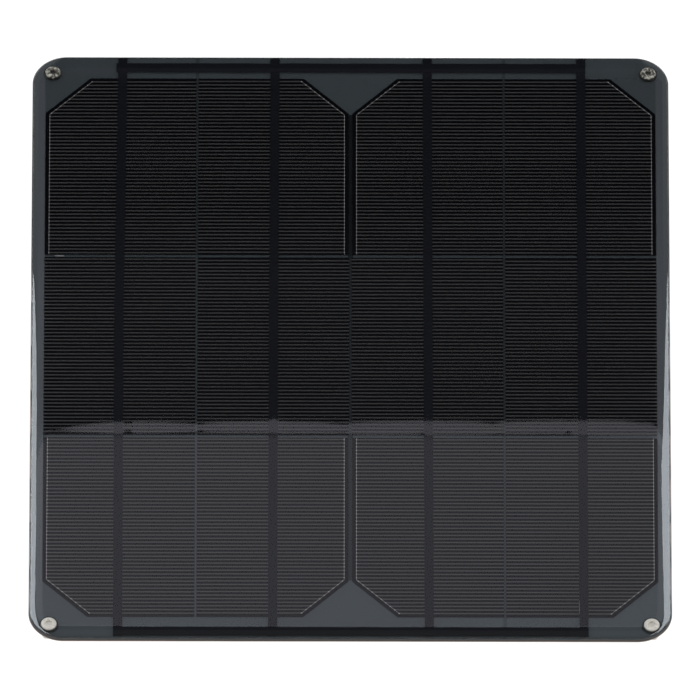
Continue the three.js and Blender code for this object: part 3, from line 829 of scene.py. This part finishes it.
def print_silver(row, column, low, high):
    """Fingers across a cell; on rows 1 and 3 also a line and pads along its cut-cornered side."""
    z0, z1 = high[2] + PRINT_Z0, high[2] + PRINT_Z1
    # the cut corner is at the +Y end in row 1; fingers are counted from the other end
    sign, near_y, cut_y = (1, low[1], high[1]) if row == 1 else (-1, high[1], low[1])
    finger_ys = [near_y + sign * FIRST_FINGER[row] + sign * FINGER_PITCH * k
                 + PRINT_SHIFT[row, column] for k in range(FINGER_COUNT)]
    left = column in (1, 3)
    outer, inward = (low[0], 1) if left else (high[0], -1)
    x0, x1 = low[0] + FINGER_END, high[0] - FINGER_END

    def line_x(y):
        depth = sign * (cut_y - y)
        return outer + inward * max(LINE_INSET, CORNER_CUT + LINE_INSET * math.sqrt(2) - depth)

    parts = []
    for y in finger_ys:
        width = FINGER_W * (1 + 0.07 * noise.noise(Vector((low[0], y * 3.1, 2.0))))
        y0, y1 = y - width / 2, y + width / 2
        if row == 2:
            parts.append(cuboid(x0, x1, y0, y1, z0, z1))
            continue
        x = line_x(y)
        parts.append(cuboid(x if left else x0, x1 if left else x, y0, y1, z0, z1))
        pad = 0.30 if abs(x - outer) > LINE_INSET + 0.05 else 0.24
        parts.append(prism([(x - pad, y), (x, y - pad), (x + pad, y), (x, y + pad)],
                           z0, z1 + PAD_RISE))
    if row != 2:
        turn = cut_y - sign * CORNER_CUT - sign * LINE_INSET * (math.sqrt(2) - 1)
        x, last = outer + inward * LINE_INSET, finger_ys[-1]
        parts.append(line_prism([(x, near_y + sign * 0.05), (x, turn), (line_x(last), last)],
                                LINE_W, z0, z1 + LINE_RISE))
    # the third row takes the silvers painted lighter as a sheen
    suffix = "_low" if row == 3 else ""
    silver = make(f"print_r{row}c{column}", join_parts(parts),
                  [FINISH[kind + suffix] for kind in ("finger", "line", "pad")],
                  slot="silicon_cell", smooth=False)
    if row != 2:
        # finger, line and pad faces are told apart by their height; line and pads take the painted
        # highlight silvers
        for face in silver.data.polygons:
            top = max(silver.data.vertices[i].co.z for i in face.vertices) / MM - z1
            face.material_index = 2 if top > 0.003 else 1 if top > 0.001 else 0


for row in (1, 2, 3):
    for column in (1, 2, 3, 4):
        cell = f"cell_r{row}c{column}"
        repaint(frame["nodes"][cell], "cell")
        print_silver(row, column, *box_mm(cell))

# a sliver of tinned strip in the gap between the first two rows: x, y from the gap's middle
OFFCUT = [(-101.9, -0.14), (-101.2, -0.24), (-98.9, -0.26), (-98.5, -0.10), (-98.8, 0.16),
          (-99.6, 0.22), (-101.7, 0.18)]
gap_y = box_mm("cell_r2c1")[1][1] + 0.55
make("tinned_offcut", prism([(x, gap_y + y) for x, y in OFFCUT], 1.56, 1.80),
     [FINISH["ribbon"]], slot="tinned_ribbon", smooth=False)

RIBBONS = ("interconnect_", "top_tab_", "bottom_tab_", "top_link_", "bottom_link_")
for name, obj in frame["nodes"].items():
    if name.startswith(RIBBONS):
        repaint(obj, "ribbon")
    if name == "blocking_diode":
        repaint(obj, "diode")

# ------------------------------------------------------------------ black film strips
FILM_STEPS, FILM_INSET, FILM_WANDER = 90, 0.08, 0.12
# by strip: sideways lean at its +Y end, at 0.55 of its length, and at its -Y end
FILM_LEAN = {1: (0.50, -0.40, -0.20), 2: (0.34, 0.0, -0.12), 3: (0.08, 0.26, 0.56),
             4: (0.36, 0.46, 0.58)}


def film_edge(along, rate, edge, layer, shift):
    """Wander of a hand-cut edge."""
    return FILM_WANDER * (noise.noise(Vector((along * rate, edge, layer))) + shift)


def film_strip(name, lean=None):
    """Runs along Y where it has a lean, else along X."""
    (x0, y0, z0), (x1, y1, z1) = box_mm(f"mask_strip_{name}")
    first, second = [], []
    for i in range(FILM_STEPS + 1):
        u = i / FILM_STEPS
        if lean:
            y = y0 + (y1 - y0) * u
            top, mid, foot = lean
            sway = foot + (mid - foot) * min(u / 0.55, 1) + (top - mid) * max((u - 0.55) / 0.45, 0)
            first.append((x1 - FILM_INSET + sway + film_edge(y, 0.11, x1, 3.0, -0.35), y))
            second.append((x0 + FILM_INSET + sway + film_edge(y, 0.13, x0, 9.0, 0.35), y))
        else:
            x = x0 + (x1 - x0) * u
            first.append((x, y0 + film_edge(x, 0.12, y0, 5.0, 0.35)))
            second.append((x, y1 + film_edge(x, 0.12, y1, 7.0, -0.35)))
    make(f"film_strip_{name}", prism(first + second[::-1], z0, z1), [FINISH["film"]],
         slot="black_mask", replaces=[f"mask_strip_{name}"], smooth=False)


for column, lean in FILM_LEAN.items():
    film_strip(f"c{column}", lean)
for name in ("top", "bottom"):
    film_strip(name)

# ------------------------------------------------------------------ corner fasteners
low, high = box_mm("corner_screw_bl")
SCREW_TIP, SCREW_TOP = low[2], high[2]
HEAD_Z = board_high[2] + 0.02
HEAD_R = (high[0] - low[0]) / 2
THREAD_PITCH, THREAD_ROOT, THREAD_CREST = 0.5, 1.25, 1.485
NUT_FLATS = 5.5
# by screw: turn of the hex socket in radians, its depth, and the screw's finish, which on the top
# two holds a painted reflection mottle
SOCKETS = {"tl": (0.30, 0.95, "screw_top"), "tr": (0.05, 0.95, "screw_top"),
           "bl": (0.45, 0.55, "screw_low"), "br": (0.15, 0.55, "screw_low")}


def screw_profile():
    """(radius, z): threaded shank, then a domed head."""
    points = [(0, SCREW_TIP), (0.95, SCREW_TIP), (1.2, SCREW_TIP + 0.22)]
    z = SCREW_TIP + 0.3
    while z < HEAD_Z - 0.75:
        points += [(THREAD_ROOT, z), (THREAD_CREST, z + 0.19), (THREAD_CREST, z + 0.25),
                   (THREAD_ROOT, z + 0.44)]
        z += THREAD_PITCH
    dome_z, top_z = HEAD_Z + 0.42, SCREW_TOP - 0.004
    points += [(1.3, HEAD_Z - 0.12), (1.5, HEAD_Z), (HEAD_R - 0.1, HEAD_Z),
               (HEAD_R, HEAD_Z + 0.1), (HEAD_R, dome_z)]
    for i in range(1, 9):
        angle = i / 8 * math.pi / 2
        points.append((HEAD_R - 1.15 * (1 - math.cos(angle)),
                       dome_z + (top_z - dome_z) * math.sin(angle)))
    return points + [(0, top_z)]


def button_screw(key, x, y):
    turn, depth, finish = SOCKETS[key]
    screw = make(f"button_screw_{key}", lathe(screw_profile(), 56, x, y), [FINISH[finish]],
                 body=None)
    carve(screw, prism(hexagon(2.0, x, y, turn), SCREW_TOP - depth, SCREW_TOP + 1))
    carve(screw, lathe([(0, SCREW_TOP - 0.16), (0.98, SCREW_TOP - 0.16),
                        (1.24, SCREW_TOP + 0.1), (0, SCREW_TOP + 0.1)], 40, x, y))
    settle(screw, "panel", "stainless_steel", [f"corner_screw_{key}"], angle=32)


def plain_washer(key, x, y):
    piece = f"washer_{key}"
    low, high = box_mm(piece)
    z0, z1 = low[2], high[2]
    outer, inner, ease = (high[0] - low[0]) / 2, SCREW_BORE, 0.07
    profile = [(inner + ease, z0), (outer - ease, z0), (outer, z0 + ease), (outer, z1 - ease),
               (outer - ease, z1), (inner + ease, z1), (inner, z1 - ease), (inner, z0 + ease)]
    make(f"plain_{piece}", lathe(profile, 64, x, y, closed=True), [FINISH["steel"]],
         body=piece, slot="stainless_steel", replaces=[piece], angle=30)


def hex_nut(key, x, y):
    piece = f"nut_{key}"
    low, high = box_mm(piece)
    z0, z1 = low[2], high[2]
    nut = make(f"hex_{piece}", prism(hexagon(NUT_FLATS, x, y), z0, z1), [FINISH["steel"]],
               body=None)
    face, corner = NUT_FLATS / math.sqrt(3) - 0.44, NUT_FLATS / math.sqrt(3) + 0.06
    # trims the six corners at both faces
    carve(nut, lathe([(0, z0), (face, z0), (corner, z0 + 0.29), (corner, z1 - 0.29), (face, z1),
                      (0, z1)], 64, x, y), "INTERSECT")
    # the bore, flared at both ends
    carve(nut, lathe([(0, z0 - 1), (1.86, z0 - 0.3), (1.86, z0 - 0.001), (1.56, z0 + 0.25),
                      (1.56, z1 - 0.25), (1.86, z1 + 0.001), (1.86, z1 + 0.3), (0, z1 + 1)],
                     48, x, y))
    settle(nut, piece, "stainless_steel", [piece], angle=24)


for key, (x, y) in SCREWS.items():
    button_screw(key, x, y)
    plain_washer(key, x, y)
    hex_nut(key, x, y)

# ------------------------------------------------------------------ rear cap: eased, with a recess
cap_low, cap_high = box_mm("junction_box")
relief_low, relief_high = box_mm("strain_relief")
CAP_BASE, CAP_FACE = cap_high[2], cap_low[2]
CAP_WALL, CAP_R = 1.3, 4.0


def cap_ring(inset, z):
    outline = rounded_rect(cap_high[0] - cap_low[0] - 2 * inset,
                           cap_high[1] - cap_low[1] - 2 * inset, max(CAP_R - inset, 0.3), 10,
                           middle(cap_low, cap_high, 0), middle(cap_low, cap_high, 1))
    return [(x, y, z) for x, y in outline]


def rear_cap():
    # inset, z: up the inner wall, over its top edge, and down the outside
    stations = [(CAP_WALL + 0.02, CAP_FACE + 0.5), (CAP_WALL, CAP_FACE + 0.52),
                (CAP_WALL, CAP_BASE - 0.1), (CAP_WALL - 0.1, CAP_BASE), (0.1, CAP_BASE),
                (0, CAP_BASE - 0.1), (0.02, CAP_FACE + 1.0)]
    for i in range(8):
        angle = i / 7 * math.pi / 2
        stations.append((0.03 + 0.87 * (1 - math.cos(angle)),
                         CAP_FACE + 0.9 - 0.9 * math.sin(angle)))
    # the shallow recess in the outer face
    stations += [(5.0, CAP_FACE), (5.12, CAP_FACE + 0.12), (5.3, CAP_FACE + 0.16)]
    cap = make("rear_cap", loft([cap_ring(*station) for station in stations]), [FINISH["cap"]],
               body=None)
    # the opening for the boot, in the +Y wall
    carve(cap, cuboid(relief_low[0] - 0.05, relief_high[0] + 0.05,
                      cap_high[1] - CAP_WALL - 0.6, cap_high[1] + 1, relief_low[2] - 0.05, 1.0))
    settle(cap, "panel", "black_cap", ["junction_box"], angle=30)


rear_cap()

# ------------------------------------------------------------------ strain relief: a ribbed boot
root_low, root_high = box_mm("cable_root")
CABLE_Z = middle(root_low, root_high, 2)
CABLE_R = (root_high[2] - root_low[2]) / 2
BOOT_BORE = 1.17


def boot_stations():
    """(y, width, height), from inside the cap outwards; the ribs narrow with distance."""
    full, height = relief_high[0] - relief_low[0], relief_high[2] - relief_low[2]
    start, stop, wall = relief_low[1], relief_high[1], cap_high[1]
    out = [(start, full - 0.3, height - 0.3), (start + 0.15, full, height),
           (wall - 0.2, full, height), (wall + 0.25, full, height)]
    y = wall + 0.9
    while y < stop - 1.0:
        width = full * (1 - 0.16 * (y - wall) / (stop - wall))
        out += [(y - 0.35, width, height), (y - 0.25, width - 0.7, height - 0.12),
                (y + 0.25, width - 0.7, height - 0.12), (y + 0.35, width, height)]
        y += 1.35
    width = full * 0.82
    return out + [(stop - 0.35, width, height), (stop - 0.1, width - 0.25, height - 0.2),
                  (stop, width - 0.6, height - 0.45)]


boot_z = middle(relief_low, relief_high, 2)
boot = make("ribbed_boot", loft([ring_across_y(*station, 0.75, boot_z)
                                 for station in boot_stations()]), [FINISH["rubber"]], body=None)
carve(boot, round_along_y([(BOOT_BORE, relief_low[1] - 2), (BOOT_BORE, relief_high[1] + 2)],
                          0.0, CABLE_Z, 32))
settle(boot, "panel", "rubber_boot", ["strain_relief"], angle=30)

# ------------------------------------------------------------------ cable from the cap to the plug
hinge = next(j for j in frame["joints"] if j["name"] == "lead_swing")["pos_m"]
hinge_y = hinge[1] / MM
# x, y
CABLE_KNOTS = [
    (0, root_low[1]), (0, hinge_y - 12), (0, hinge_y), (0, -55), (0, -44), (2.2, -26),
    (5.2, -6), (4.2, 14), (0.6, 32), (0, 46), (0, 58), (0, box_mm("cable_lead")[1][1])]
CABLE_SIDES, STEPS_PER_MM = 28, 0.8


def weigh(p, q, start, stop, t):
    return p * ((stop - t) / (stop - start)) + q * ((t - start) / (stop - start))


def centripetal(knots):
    """A centripetal Catmull-Rom curve through the knots."""
    points = [Vector(knot) for knot in knots]
    points = [points[0] * 2 - points[1]] + points + [points[-1] * 2 - points[-2]]
    out = []
    for quad in zip(points, points[1:], points[2:], points[3:]):
        times = [0.0]
        for p, q in zip(quad, quad[1:]):
            times.append(times[-1] + (q - p).length ** 0.5)
        steps = max(2, int((quad[2] - quad[1]).length * STEPS_PER_MM))
        for i in range(steps):
            t = times[1] + (times[2] - times[1]) * i / steps
            lines = [weigh(quad[j], quad[j + 1], times[j], times[j + 1], t) for j in range(3)]
            curves = [weigh(lines[j], lines[j + 1], times[j], times[j + 2], t) for j in range(2)]
            out.append(weigh(*curves, times[1], times[2], t))
    return out + [points[-2]]


def output_cable():
    path, rings = centripetal(CABLE_KNOTS), []
    last = len(path) - 1
    for i, p in enumerate(path):
        ahead = (path[min(i + 1, last)] - path[max(i - 1, 0)]).normalized()
        radius = CABLE_R * (1 if 0 < i < last else 0.86)
        rings.append([(p.x + ahead.y * side, p.y - ahead.x * side, CABLE_Z + rise)
                      for side, rise in circle(0.0, 0.0, radius, CABLE_SIDES)])
    cable = make("output_cable", loft(rings), [FINISH["sheath"]], body=None,
                 slot="cable_sheath", replaces=["cable_root", "cable_lead"], angle=60)
    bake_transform(cable)


output_cable()

# ------------------------------------------------------------------ plug: flat two-pole housing
plug_low, plug_high = box_mm("plug_housing")
PLUG_W = plug_high[0] - plug_low[0]
PLUG_Y0, PLUG_Y1 = plug_low[1], plug_high[1]
PLUG_H = 2.8
PLUG_Z0 = plug_high[2] - PLUG_H
PLUG_MID = (PLUG_Z0 + plug_high[2]) / 2
PIN_HOLE, CABLE_HOLE = 0.46, 1.18


def pin_place(key):
    """x, z, first y, last y and radius of a contact."""
    low, high = box_mm(f"plug_contact_{key}")
    return middle(low, high, 0), middle(low, high, 2), low[1], high[1], (high[0] - low[0]) / 2


def plug_stations():
    """(y, width, height, corner radius), from the cable end to the open end."""
    out = [(PLUG_Y0, 4.4, PLUG_H - 0.7, 0.9), (PLUG_Y0 + 0.25, 5.0, PLUG_H - 0.3, 1.0),
           (PLUG_Y0 + 1.6, 5.6, PLUG_H - 0.1, 1.0), (PLUG_Y0 + 2.3, PLUG_W - 0.35, PLUG_H, 0.75),
           (PLUG_Y0 + 2.6, PLUG_W, PLUG_H, 0.7)]
    # four grip grooves
    for i in range(4):
        y = PLUG_Y0 + 3.4 + 0.95 * i
        full, groove = (PLUG_W, PLUG_H, 0.7), (PLUG_W - 0.35, PLUG_H - 0.16, 0.6)
        out += [(y - 0.2, *full), (y - 0.1, *groove), (y + 0.2, *groove), (y + 0.3, *full)]
    return out + [(PLUG_Y1 - 0.2, PLUG_W, PLUG_H, 0.55),
                  (PLUG_Y1, PLUG_W - 0.36, PLUG_H - 0.36, 0.45)]


def plug_rib():
    """A raised rib on the underside, ramped at its +Y end."""
    # y, side inset, height of its face above the housing's lowest point
    stations = [(3.0, 0.05, 0.25), (3.35, 0.0, 0.0), (6.6, 0.0, 0.0), (8.0, 0.05, 0.3)]
    root = PLUG_Z0 + 0.3
    return loft([[(x, PLUG_Y0 + y, z) for x, z in (
        (-1.2 + inset, root), (1.2 - inset, root),
        (1.2 - inset, plug_low[2] + lift), (-1.2 + inset, plug_low[2] + lift))]
        for y, inset, lift in stations])


PINS = {key: pin_place(key) for key in ("positive", "negative")}
plug = make("plug_body", loft([ring_across_y(*station, PLUG_MID) for station in plug_stations()]),
            [FINISH["plug"]], body=None)
carve(plug, loft([ring_across_y(y, PLUG_W - 1.6, 1.7, 0.35, PLUG_MID, steps=5)
                  for y in (PLUG_Y1 - 5.5, PLUG_Y1 + 1)]))
carve(plug, round_along_y([(CABLE_HOLE, PLUG_Y0 - 1), (CABLE_HOLE, PLUG_Y0 + 4)],
                          0.0, CABLE_Z, 28))
for x, z, y0, y1, _ in PINS.values():
    carve(plug, round_along_y([(PIN_HOLE, y0 - 0.1), (PIN_HOLE, y1)], x, z, 20))
carve(plug, plug_rib(), "UNION")
settle(plug, "lead", "plug_plastic", ["plug_housing"], angle=28)

for key, (x, z, y0, y1, radius) in PINS.items():
    stations = [(0.3, y0), (radius, y0 + 0.08), (radius, y1 - 0.34), (radius * 0.92, y1 - 0.16),
                (radius * 0.66, y1 - 0.04), (radius * 0.3, y1)]
    make(f"contact_pin_{key}", round_along_y(stations, x, z, 24), [FINISH["brass"]],
         body="lead", slot="contact_metal", replaces=[f"plug_contact_{key}"], angle=50)

# ------------------------------------------------------------------ rear face: solder and tracks
# radius, z of a solder joint
JOINT = [(0, -0.02), (1.25, -0.02), (1.15, -0.10), (0.8, -0.26), (0.35, -0.38), (0, -0.41)]
# x, y of the +X track, from its column towards the cap; the other mirrors it
TRACK = [(79.3, -122.2), (79.3, -112.0), (71.3, -104.0), (38.0, -104.0), (24.6, -92.0)]
make("solder_joints", join_parts([lathe(JOINT, 28, x, y) for x in (-79.3, -26.45, 26.45, 79.3)
                                  for y in (124.1, -124.9)]),
     [FINISH["solder"]], slot="tinned_ribbon", angle=50)
make("rear_tracks", join_parts([line_prism([(side * x, y) for x, y in TRACK], 2.4, -0.055, -0.018)
                                for side in (-1, 1)]),
     [FINISH["mask_rear"]], slot="solder_mask_board", smooth=False)


# ------------------------------------------------------------------ floor
def floor_material():
    """Mostly glowing white, and unseen from below."""
    made, net = new_material("floor_white")
    geometry = net.add("ShaderNodeNewGeometry").outputs
    wide = net.noise(net.coords(), scale=3.0, detail=2.0)
    colour = net.mix(wide, grey(0.92), grey(0.96))
    diffuse = net.get("ShaderNodeBsdfDiffuse", {"Color": colour})
    lit = net.mix_shader(0.90, diffuse, net.emission(WHITE, strength=1.13))
    net.end(net.mix_shader(geometry["Backfacing"], lit, net.transparent()))
    made.cycles.emission_sampling = "NONE"
    return made


FLOOR_Z = min(CAD_LOW[2], -0.00348) - 0.00002
FLOOR_HALF = 3
floor = link_mesh("floor", [(x * FLOOR_HALF, y * FLOOR_HALF, FLOOR_Z)
                            for x, y in ((-1, -1), (1, -1), (1, 1), (-1, 1))],
                  [(0, 1, 2, 3)], [floor_material()])
floor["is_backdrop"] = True

# ------------------------------------------------------------------ light cards
# where the camera stands as seen from the panel: angles, and distance in metres
ELEVATION, AZIMUTH, ROLL = (math.radians(a) for a in (51.4114, -0.1717, 0.2452))
DISTANCE = 11.5115
COS_E, SIN_E = math.cos(ELEVATION), math.sin(ELEVATION)


def card(name, corners, paint):
    """A glowing card that only reflections see."""
    made, net = new_material(name)
    net.end(paint(net))
    made.cycles.emission_sampling = "NONE"
    obj = link_mesh(name, corners, [tuple(range(len(corners)))], [made])
    obj.visible_camera = obj.visible_diffuse = obj.visible_transmission = False
    obj.visible_volume_scatter = obj.visible_shadow = False
    obj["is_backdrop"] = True


# The flat coat mirrors this card, which holds the reflection's tones row by row.
# It stands square to the mirrored line of sight, CARD_FAR metres out.
MIRRORED = Vector((0, COS_E, SIN_E))
CARD_UP = Vector((0, SIN_E, -COS_E))
CARD_FAR = 0.6
CARD_HALF_X, CARD_W0, CARD_W1 = 0.25, -0.240, 0.120
# the card's height in panel mm: lowest Y, and span
CARD_Y0, CARD_SPAN = -300.0, 440.0
# the bright bar in that reflection: X, then its upper and lower edge in Y, in panel mm
BAR = [
    (-105.2, -38.09, -38.09), (-103.1, -37.78, -38.18), (-99.7, -36.75, -38.45),
    (-92.4, -35.49, -38.99), (-85.9, -34.77, -39.35), (-81.2, -34.41, -39.53),
    (-80.4, -35.31, -37.74), (-78.3, -35.31, -37.74), (-77.3, -34.32, -39.26),
    (-65.2, -34.5, -39.08), (-54.2, -35.49, -38.36), (-52.8, -35.67, -37.47),
    (-51.5, -35.04, -38.63), (-46.3, -34.5, -38.81), (-28.7, -34.05, -38.95),
    (-26.3, -32.48, -39.13), (-24.3, -34.23, -38.99), (-10.2, -34.59, -39.08),
    (-0.5, -35.63, -38.72), (1.2, -34.77, -39.62), (8.8, -34.19, -39.85),
    (25.3, -33.87, -39.85), (27, -33.52, -38.54), (28.7, -33.87, -39.85),
    (46.6, -34.14, -39.85), (53.2, -35.22, -39.35), (55.9, -34.14, -39.04),
    (78.3, -33.52, -39.13), (80, -33.96, -37.87), (82.1, -33.52, -39.67),
    (100, -33.6, -40.12), (106.2, -34.64, -40.16)]
# the bar's edges are stored as shares of the band that starts at BAR_TOP
BAR_TOP, BAR_BAND, BAR_SPAN_X = -33, 8, 250


def card_share(y):
    return (y - CARD_Y0) / CARD_SPAN


def bar_mask(net, x, seen):
    """1 inside the bright bar, whose edges wander from cell to cell."""
    across = net.over(net.plus(x, BAR_SPAN_X / 2 * MM), BAR_SPAN_X * MM)
    edges = net.ramp(across, [
        ((bar_x + BAR_SPAN_X / 2) / BAR_SPAN_X,
         ((BAR_TOP - upper) / BAR_BAND, (BAR_TOP - lower) / BAR_BAND, 0))
        for bar_x, upper, lower in BAR])
    upper, lower, _ = net.add("ShaderNodeSeparateColor", {0: edges}).outputs
    row = net.over(net.minus(BAR_TOP * MM, seen), BAR_BAND * MM)
    below = net.fade(net.minus(row, upper), -0.10, 0.03)
    above = net.fade(net.minus(lower, row), -0.01, 0.02)
    return net.times(net.times(below, above), 0.97)


def main_card(net):
    position = net.add("ShaderNodeNewGeometry").outputs["Position"]
    height = net.add("ShaderNodeVectorMath", {0: position, 1: tuple(CARD_UP)},
                     operation="DOT_PRODUCT").outputs["Value"]
    x = net.split(position)[0]
    # the panel Y at which each card row is seen, mirrored at the coat's 2.8 mm top
    level = net.over(height, 1 + CARD_FAR / DISTANCE)
    seen = net.over(net.plus(level, COS_E * 2.8 * MM), SIN_E)
    share = net.over(net.minus(seen, CARD_Y0 * MM), CARD_SPAN * MM)
    # the row seen in the coat's -Y rim, this deep in from its edge
    depth = 4.05
    tilt = 2 * math.atan(rim_at(depth)[0])
    tip = -(COAT_H / 2 - depth) - CARD_FAR / MM * math.sin(tilt) / SIN_E
    # panel Y, brightness
    rows = [(CARD_Y0, 0.10), (tip - 1, 0.10), (tip, 0.86), (tip + 14, 0.80), (tip + 22, 0.62),
            (-118, 0.62), (-60, 0.605), (-42.5, 0.62), (-40.6, 0.72), (-40.2, 0.02),
            (-33.0, 0.06), (30, 0.055), (60, 0.02), (115, 0.015), (121, 0.07),
            (CARD_Y0 + CARD_SPAN, 0.07)]
    tone = net.ramp(share, [(card_share(y), grey(v)) for y, v in rows])
    tone = net.math("MAXIMUM", tone, bar_mask(net, x, seen))
    # brighter beyond the panel's sides
    beside = net.fade(net.size(x), 0.148, 0.166, smooth=True)
    glow = net.ramp(share, [(card_share(y), grey(v))
                            for y, v in ((-122, 0.40), (10, 0.62), (60, 0.50), (125, 0.28))])
    tone = net.plus(tone, net.times(beside, glow))
    slant = net.math("MULTIPLY_ADD", x, -0.85, 1.0)
    return net.emission(net.tint(tone, (0.995, 0.985, 1.10)), slant)


card("card_rear", [MIRRORED * CARD_FAR + Vector((side * CARD_HALF_X, 0, 0)) + CARD_UP * w
                   for side, w in ((-1, CARD_W0), (1, CARD_W0), (1, CARD_W1), (-1, CARD_W1))],
     main_card)

# Two side cards overhead: only the coat's rounded rim tilts far enough to see them.
SIDE_CARD_Z = 0.23
# y, depth in from the coat's edge where the card's inner edge shows
LEFT_ROWS = ((29, 0.65), (20, 1.0), (0, 1.58), (-24, 1.83), (-55, 1.88), (-86, 1.93),
             (-112, 1.80))
RIGHT_ROWS = ((29, 0.40), (20, 0.70), (0, 1.33), (-24, 1.83), (-54, 2.73), (-85, 2.6),
              (-112, 2.28))
# x, y in metres: narrows round the -Y corner so the streak ends in a point, then returns outside
SIDE_TAIL = [(-0.176, 0.022), (-0.198, -0.042), (-0.250, -0.165), (-0.262, -0.30),
             (-0.285, -0.43), (-0.52, -0.43), (-0.60, -0.20), (-0.68, 0.02), (-1.40, 0.30)]


def seen_from_rim(y, depth, slope):
    """Where the line of sight, mirrored by the -X rim, meets the side cards' plane."""
    tilt = math.atan(slope)
    normal, view = Vector((-math.sin(tilt), 0, math.cos(tilt))), Vector((0, -COS_E, SIN_E))
    ray = 2 * normal.dot(view) * normal - view
    start = Vector((-(COAT_W / 2 - depth) * MM, y * MM, 2.6 * MM))
    hit = start + ray * ((SIDE_CARD_Z - start.z) / ray.z)
    return hit.x, hit.y


def side_outline(rows):
    return ([seen_from_rim(30, 0.3, slope) for slope in (0.80, 0.60, 0.42)]
            + [seen_from_rim(y, depth, rim_at(depth)[0]) for y, depth in rows] + SIDE_TAIL)


def side_card(net):
    wide = net.noise(net.coords(), scale=4.0, detail=1.0)
    glow = net.emission((0.88, 0.94, 1.0), net.around(wide, 7.35, spread=0.75))
    # lit only for rays from the rounded rim, so that the flat coat never mirrors it:
    # each ray is followed back to the coat, and its depth there is measured
    geometry = net.add("ShaderNodeNewGeometry").outputs
    position, incoming = (net.split(geometry[k]) for k in ("Position", "Incoming"))
    run = net.over(net.minus(2.7 * MM, position[2]), incoming[2])
    beyond = [net.minus(net.size(net.math("MULTIPLY_ADD", incoming[k], run, position[k])),
                        (size / 2 - COAT_R) * MM) for k, size in ((0, COAT_W), (1, COAT_H))]
    outside = [net.math("MAXIMUM", value, 0.0) for value in beyond]
    far = net.length(*outside)
    far = net.plus(far, net.math("MINIMUM", net.math("MAXIMUM", *beyond), 0.0))
    rim = net.fade_mm(far, COAT_R - 4.8, COAT_R - 4.2)
    return net.mix_shader(rim, net.transparent(), glow)


card("card_left", [Vector((x, y, SIDE_CARD_Z)) for x, y in side_outline(LEFT_ROWS)], side_card)
card("card_right", [Vector((-x, y, SIDE_CARD_Z)) for x, y in reversed(side_outline(RIGHT_ROWS))],
     side_card)


# ------------------------------------------------------------------ world
def build_world():
    """Plain white light; reflections see a dimmer, shaped sky instead."""
    world = bpy.data.worlds.new("studio")
    bpy.context.scene.world = world
    world.use_nodes = True
    net = Net(world.node_tree)
    x, y, z = net.split(net.add("ShaderNodeTexCoord").outputs["Generated"])
    side = net.fade(net.size(x), 0.045, 0.13, low=0.02, high=0.55, smooth=True)
    overhead = net.fade(z, 0.785, 0.800, smooth=True)
    ahead = net.fade(y, -0.05, 0.10, smooth=True)
    # brightness: `side` towards +Y, 0.42 towards -Y, 0.20 overhead
    around = net.plus(net.times(side, ahead), net.times(net.minus(1.0, ahead), 0.42))
    value = net.plus(net.times(around, net.minus(1.0, overhead)), net.times(overhead, 0.20))
    ray = net.add("ShaderNodeLightPath").outputs
    plain = net.get("ShaderNodeBackground", {"Color": WHITE, "Strength": 1.0})
    gloss = net.get("ShaderNodeBackground", {"Color": (0.97, 0.99, 1.0), "Strength": value})
    net.end(net.mix_shader(ray["Is Glossy Ray"], plain, gloss), "ShaderNodeOutputWorld")


build_world()


# ------------------------------------------------------------------ camera
def build_camera():
    """A long lens, above the panel and towards -Y."""
    data = bpy.data.cameras.new("camera")
    camera = bpy.data.objects.new("camera", data)
    bpy.context.scene.collection.objects.link(camera)
    data.sensor_width = 36
    data.lens = 1721.2
    data.clip_start, data.clip_end = 0.1, 90
    back = Vector((math.sin(AZIMUTH) * COS_E, -math.cos(AZIMUTH) * COS_E, SIN_E))
    right = Vector((math.cos(AZIMUTH), math.sin(AZIMUTH), 0))
    up = back.cross(right)
    # a small shift in the camera's own plane centres the view
    place = right * (-0.129 * MM) + up * (-0.315 * MM) + back * DISTANCE
    rolled_right = right * math.cos(ROLL) + up * math.sin(ROLL)
    rolled_up = up * math.cos(ROLL) - right * math.sin(ROLL)
    camera.matrix_world = Matrix([*zip(rolled_right, rolled_up, back, place), (0, 0, 0, 1)])
    bpy.context.scene.camera = camera


build_camera()
scene = bpy.context.scene
scene.view_settings.view_transform = "Standard"
scene.view_settings.look = "None"
scene.cycles.transparent_max_bounces = 32

low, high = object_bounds()
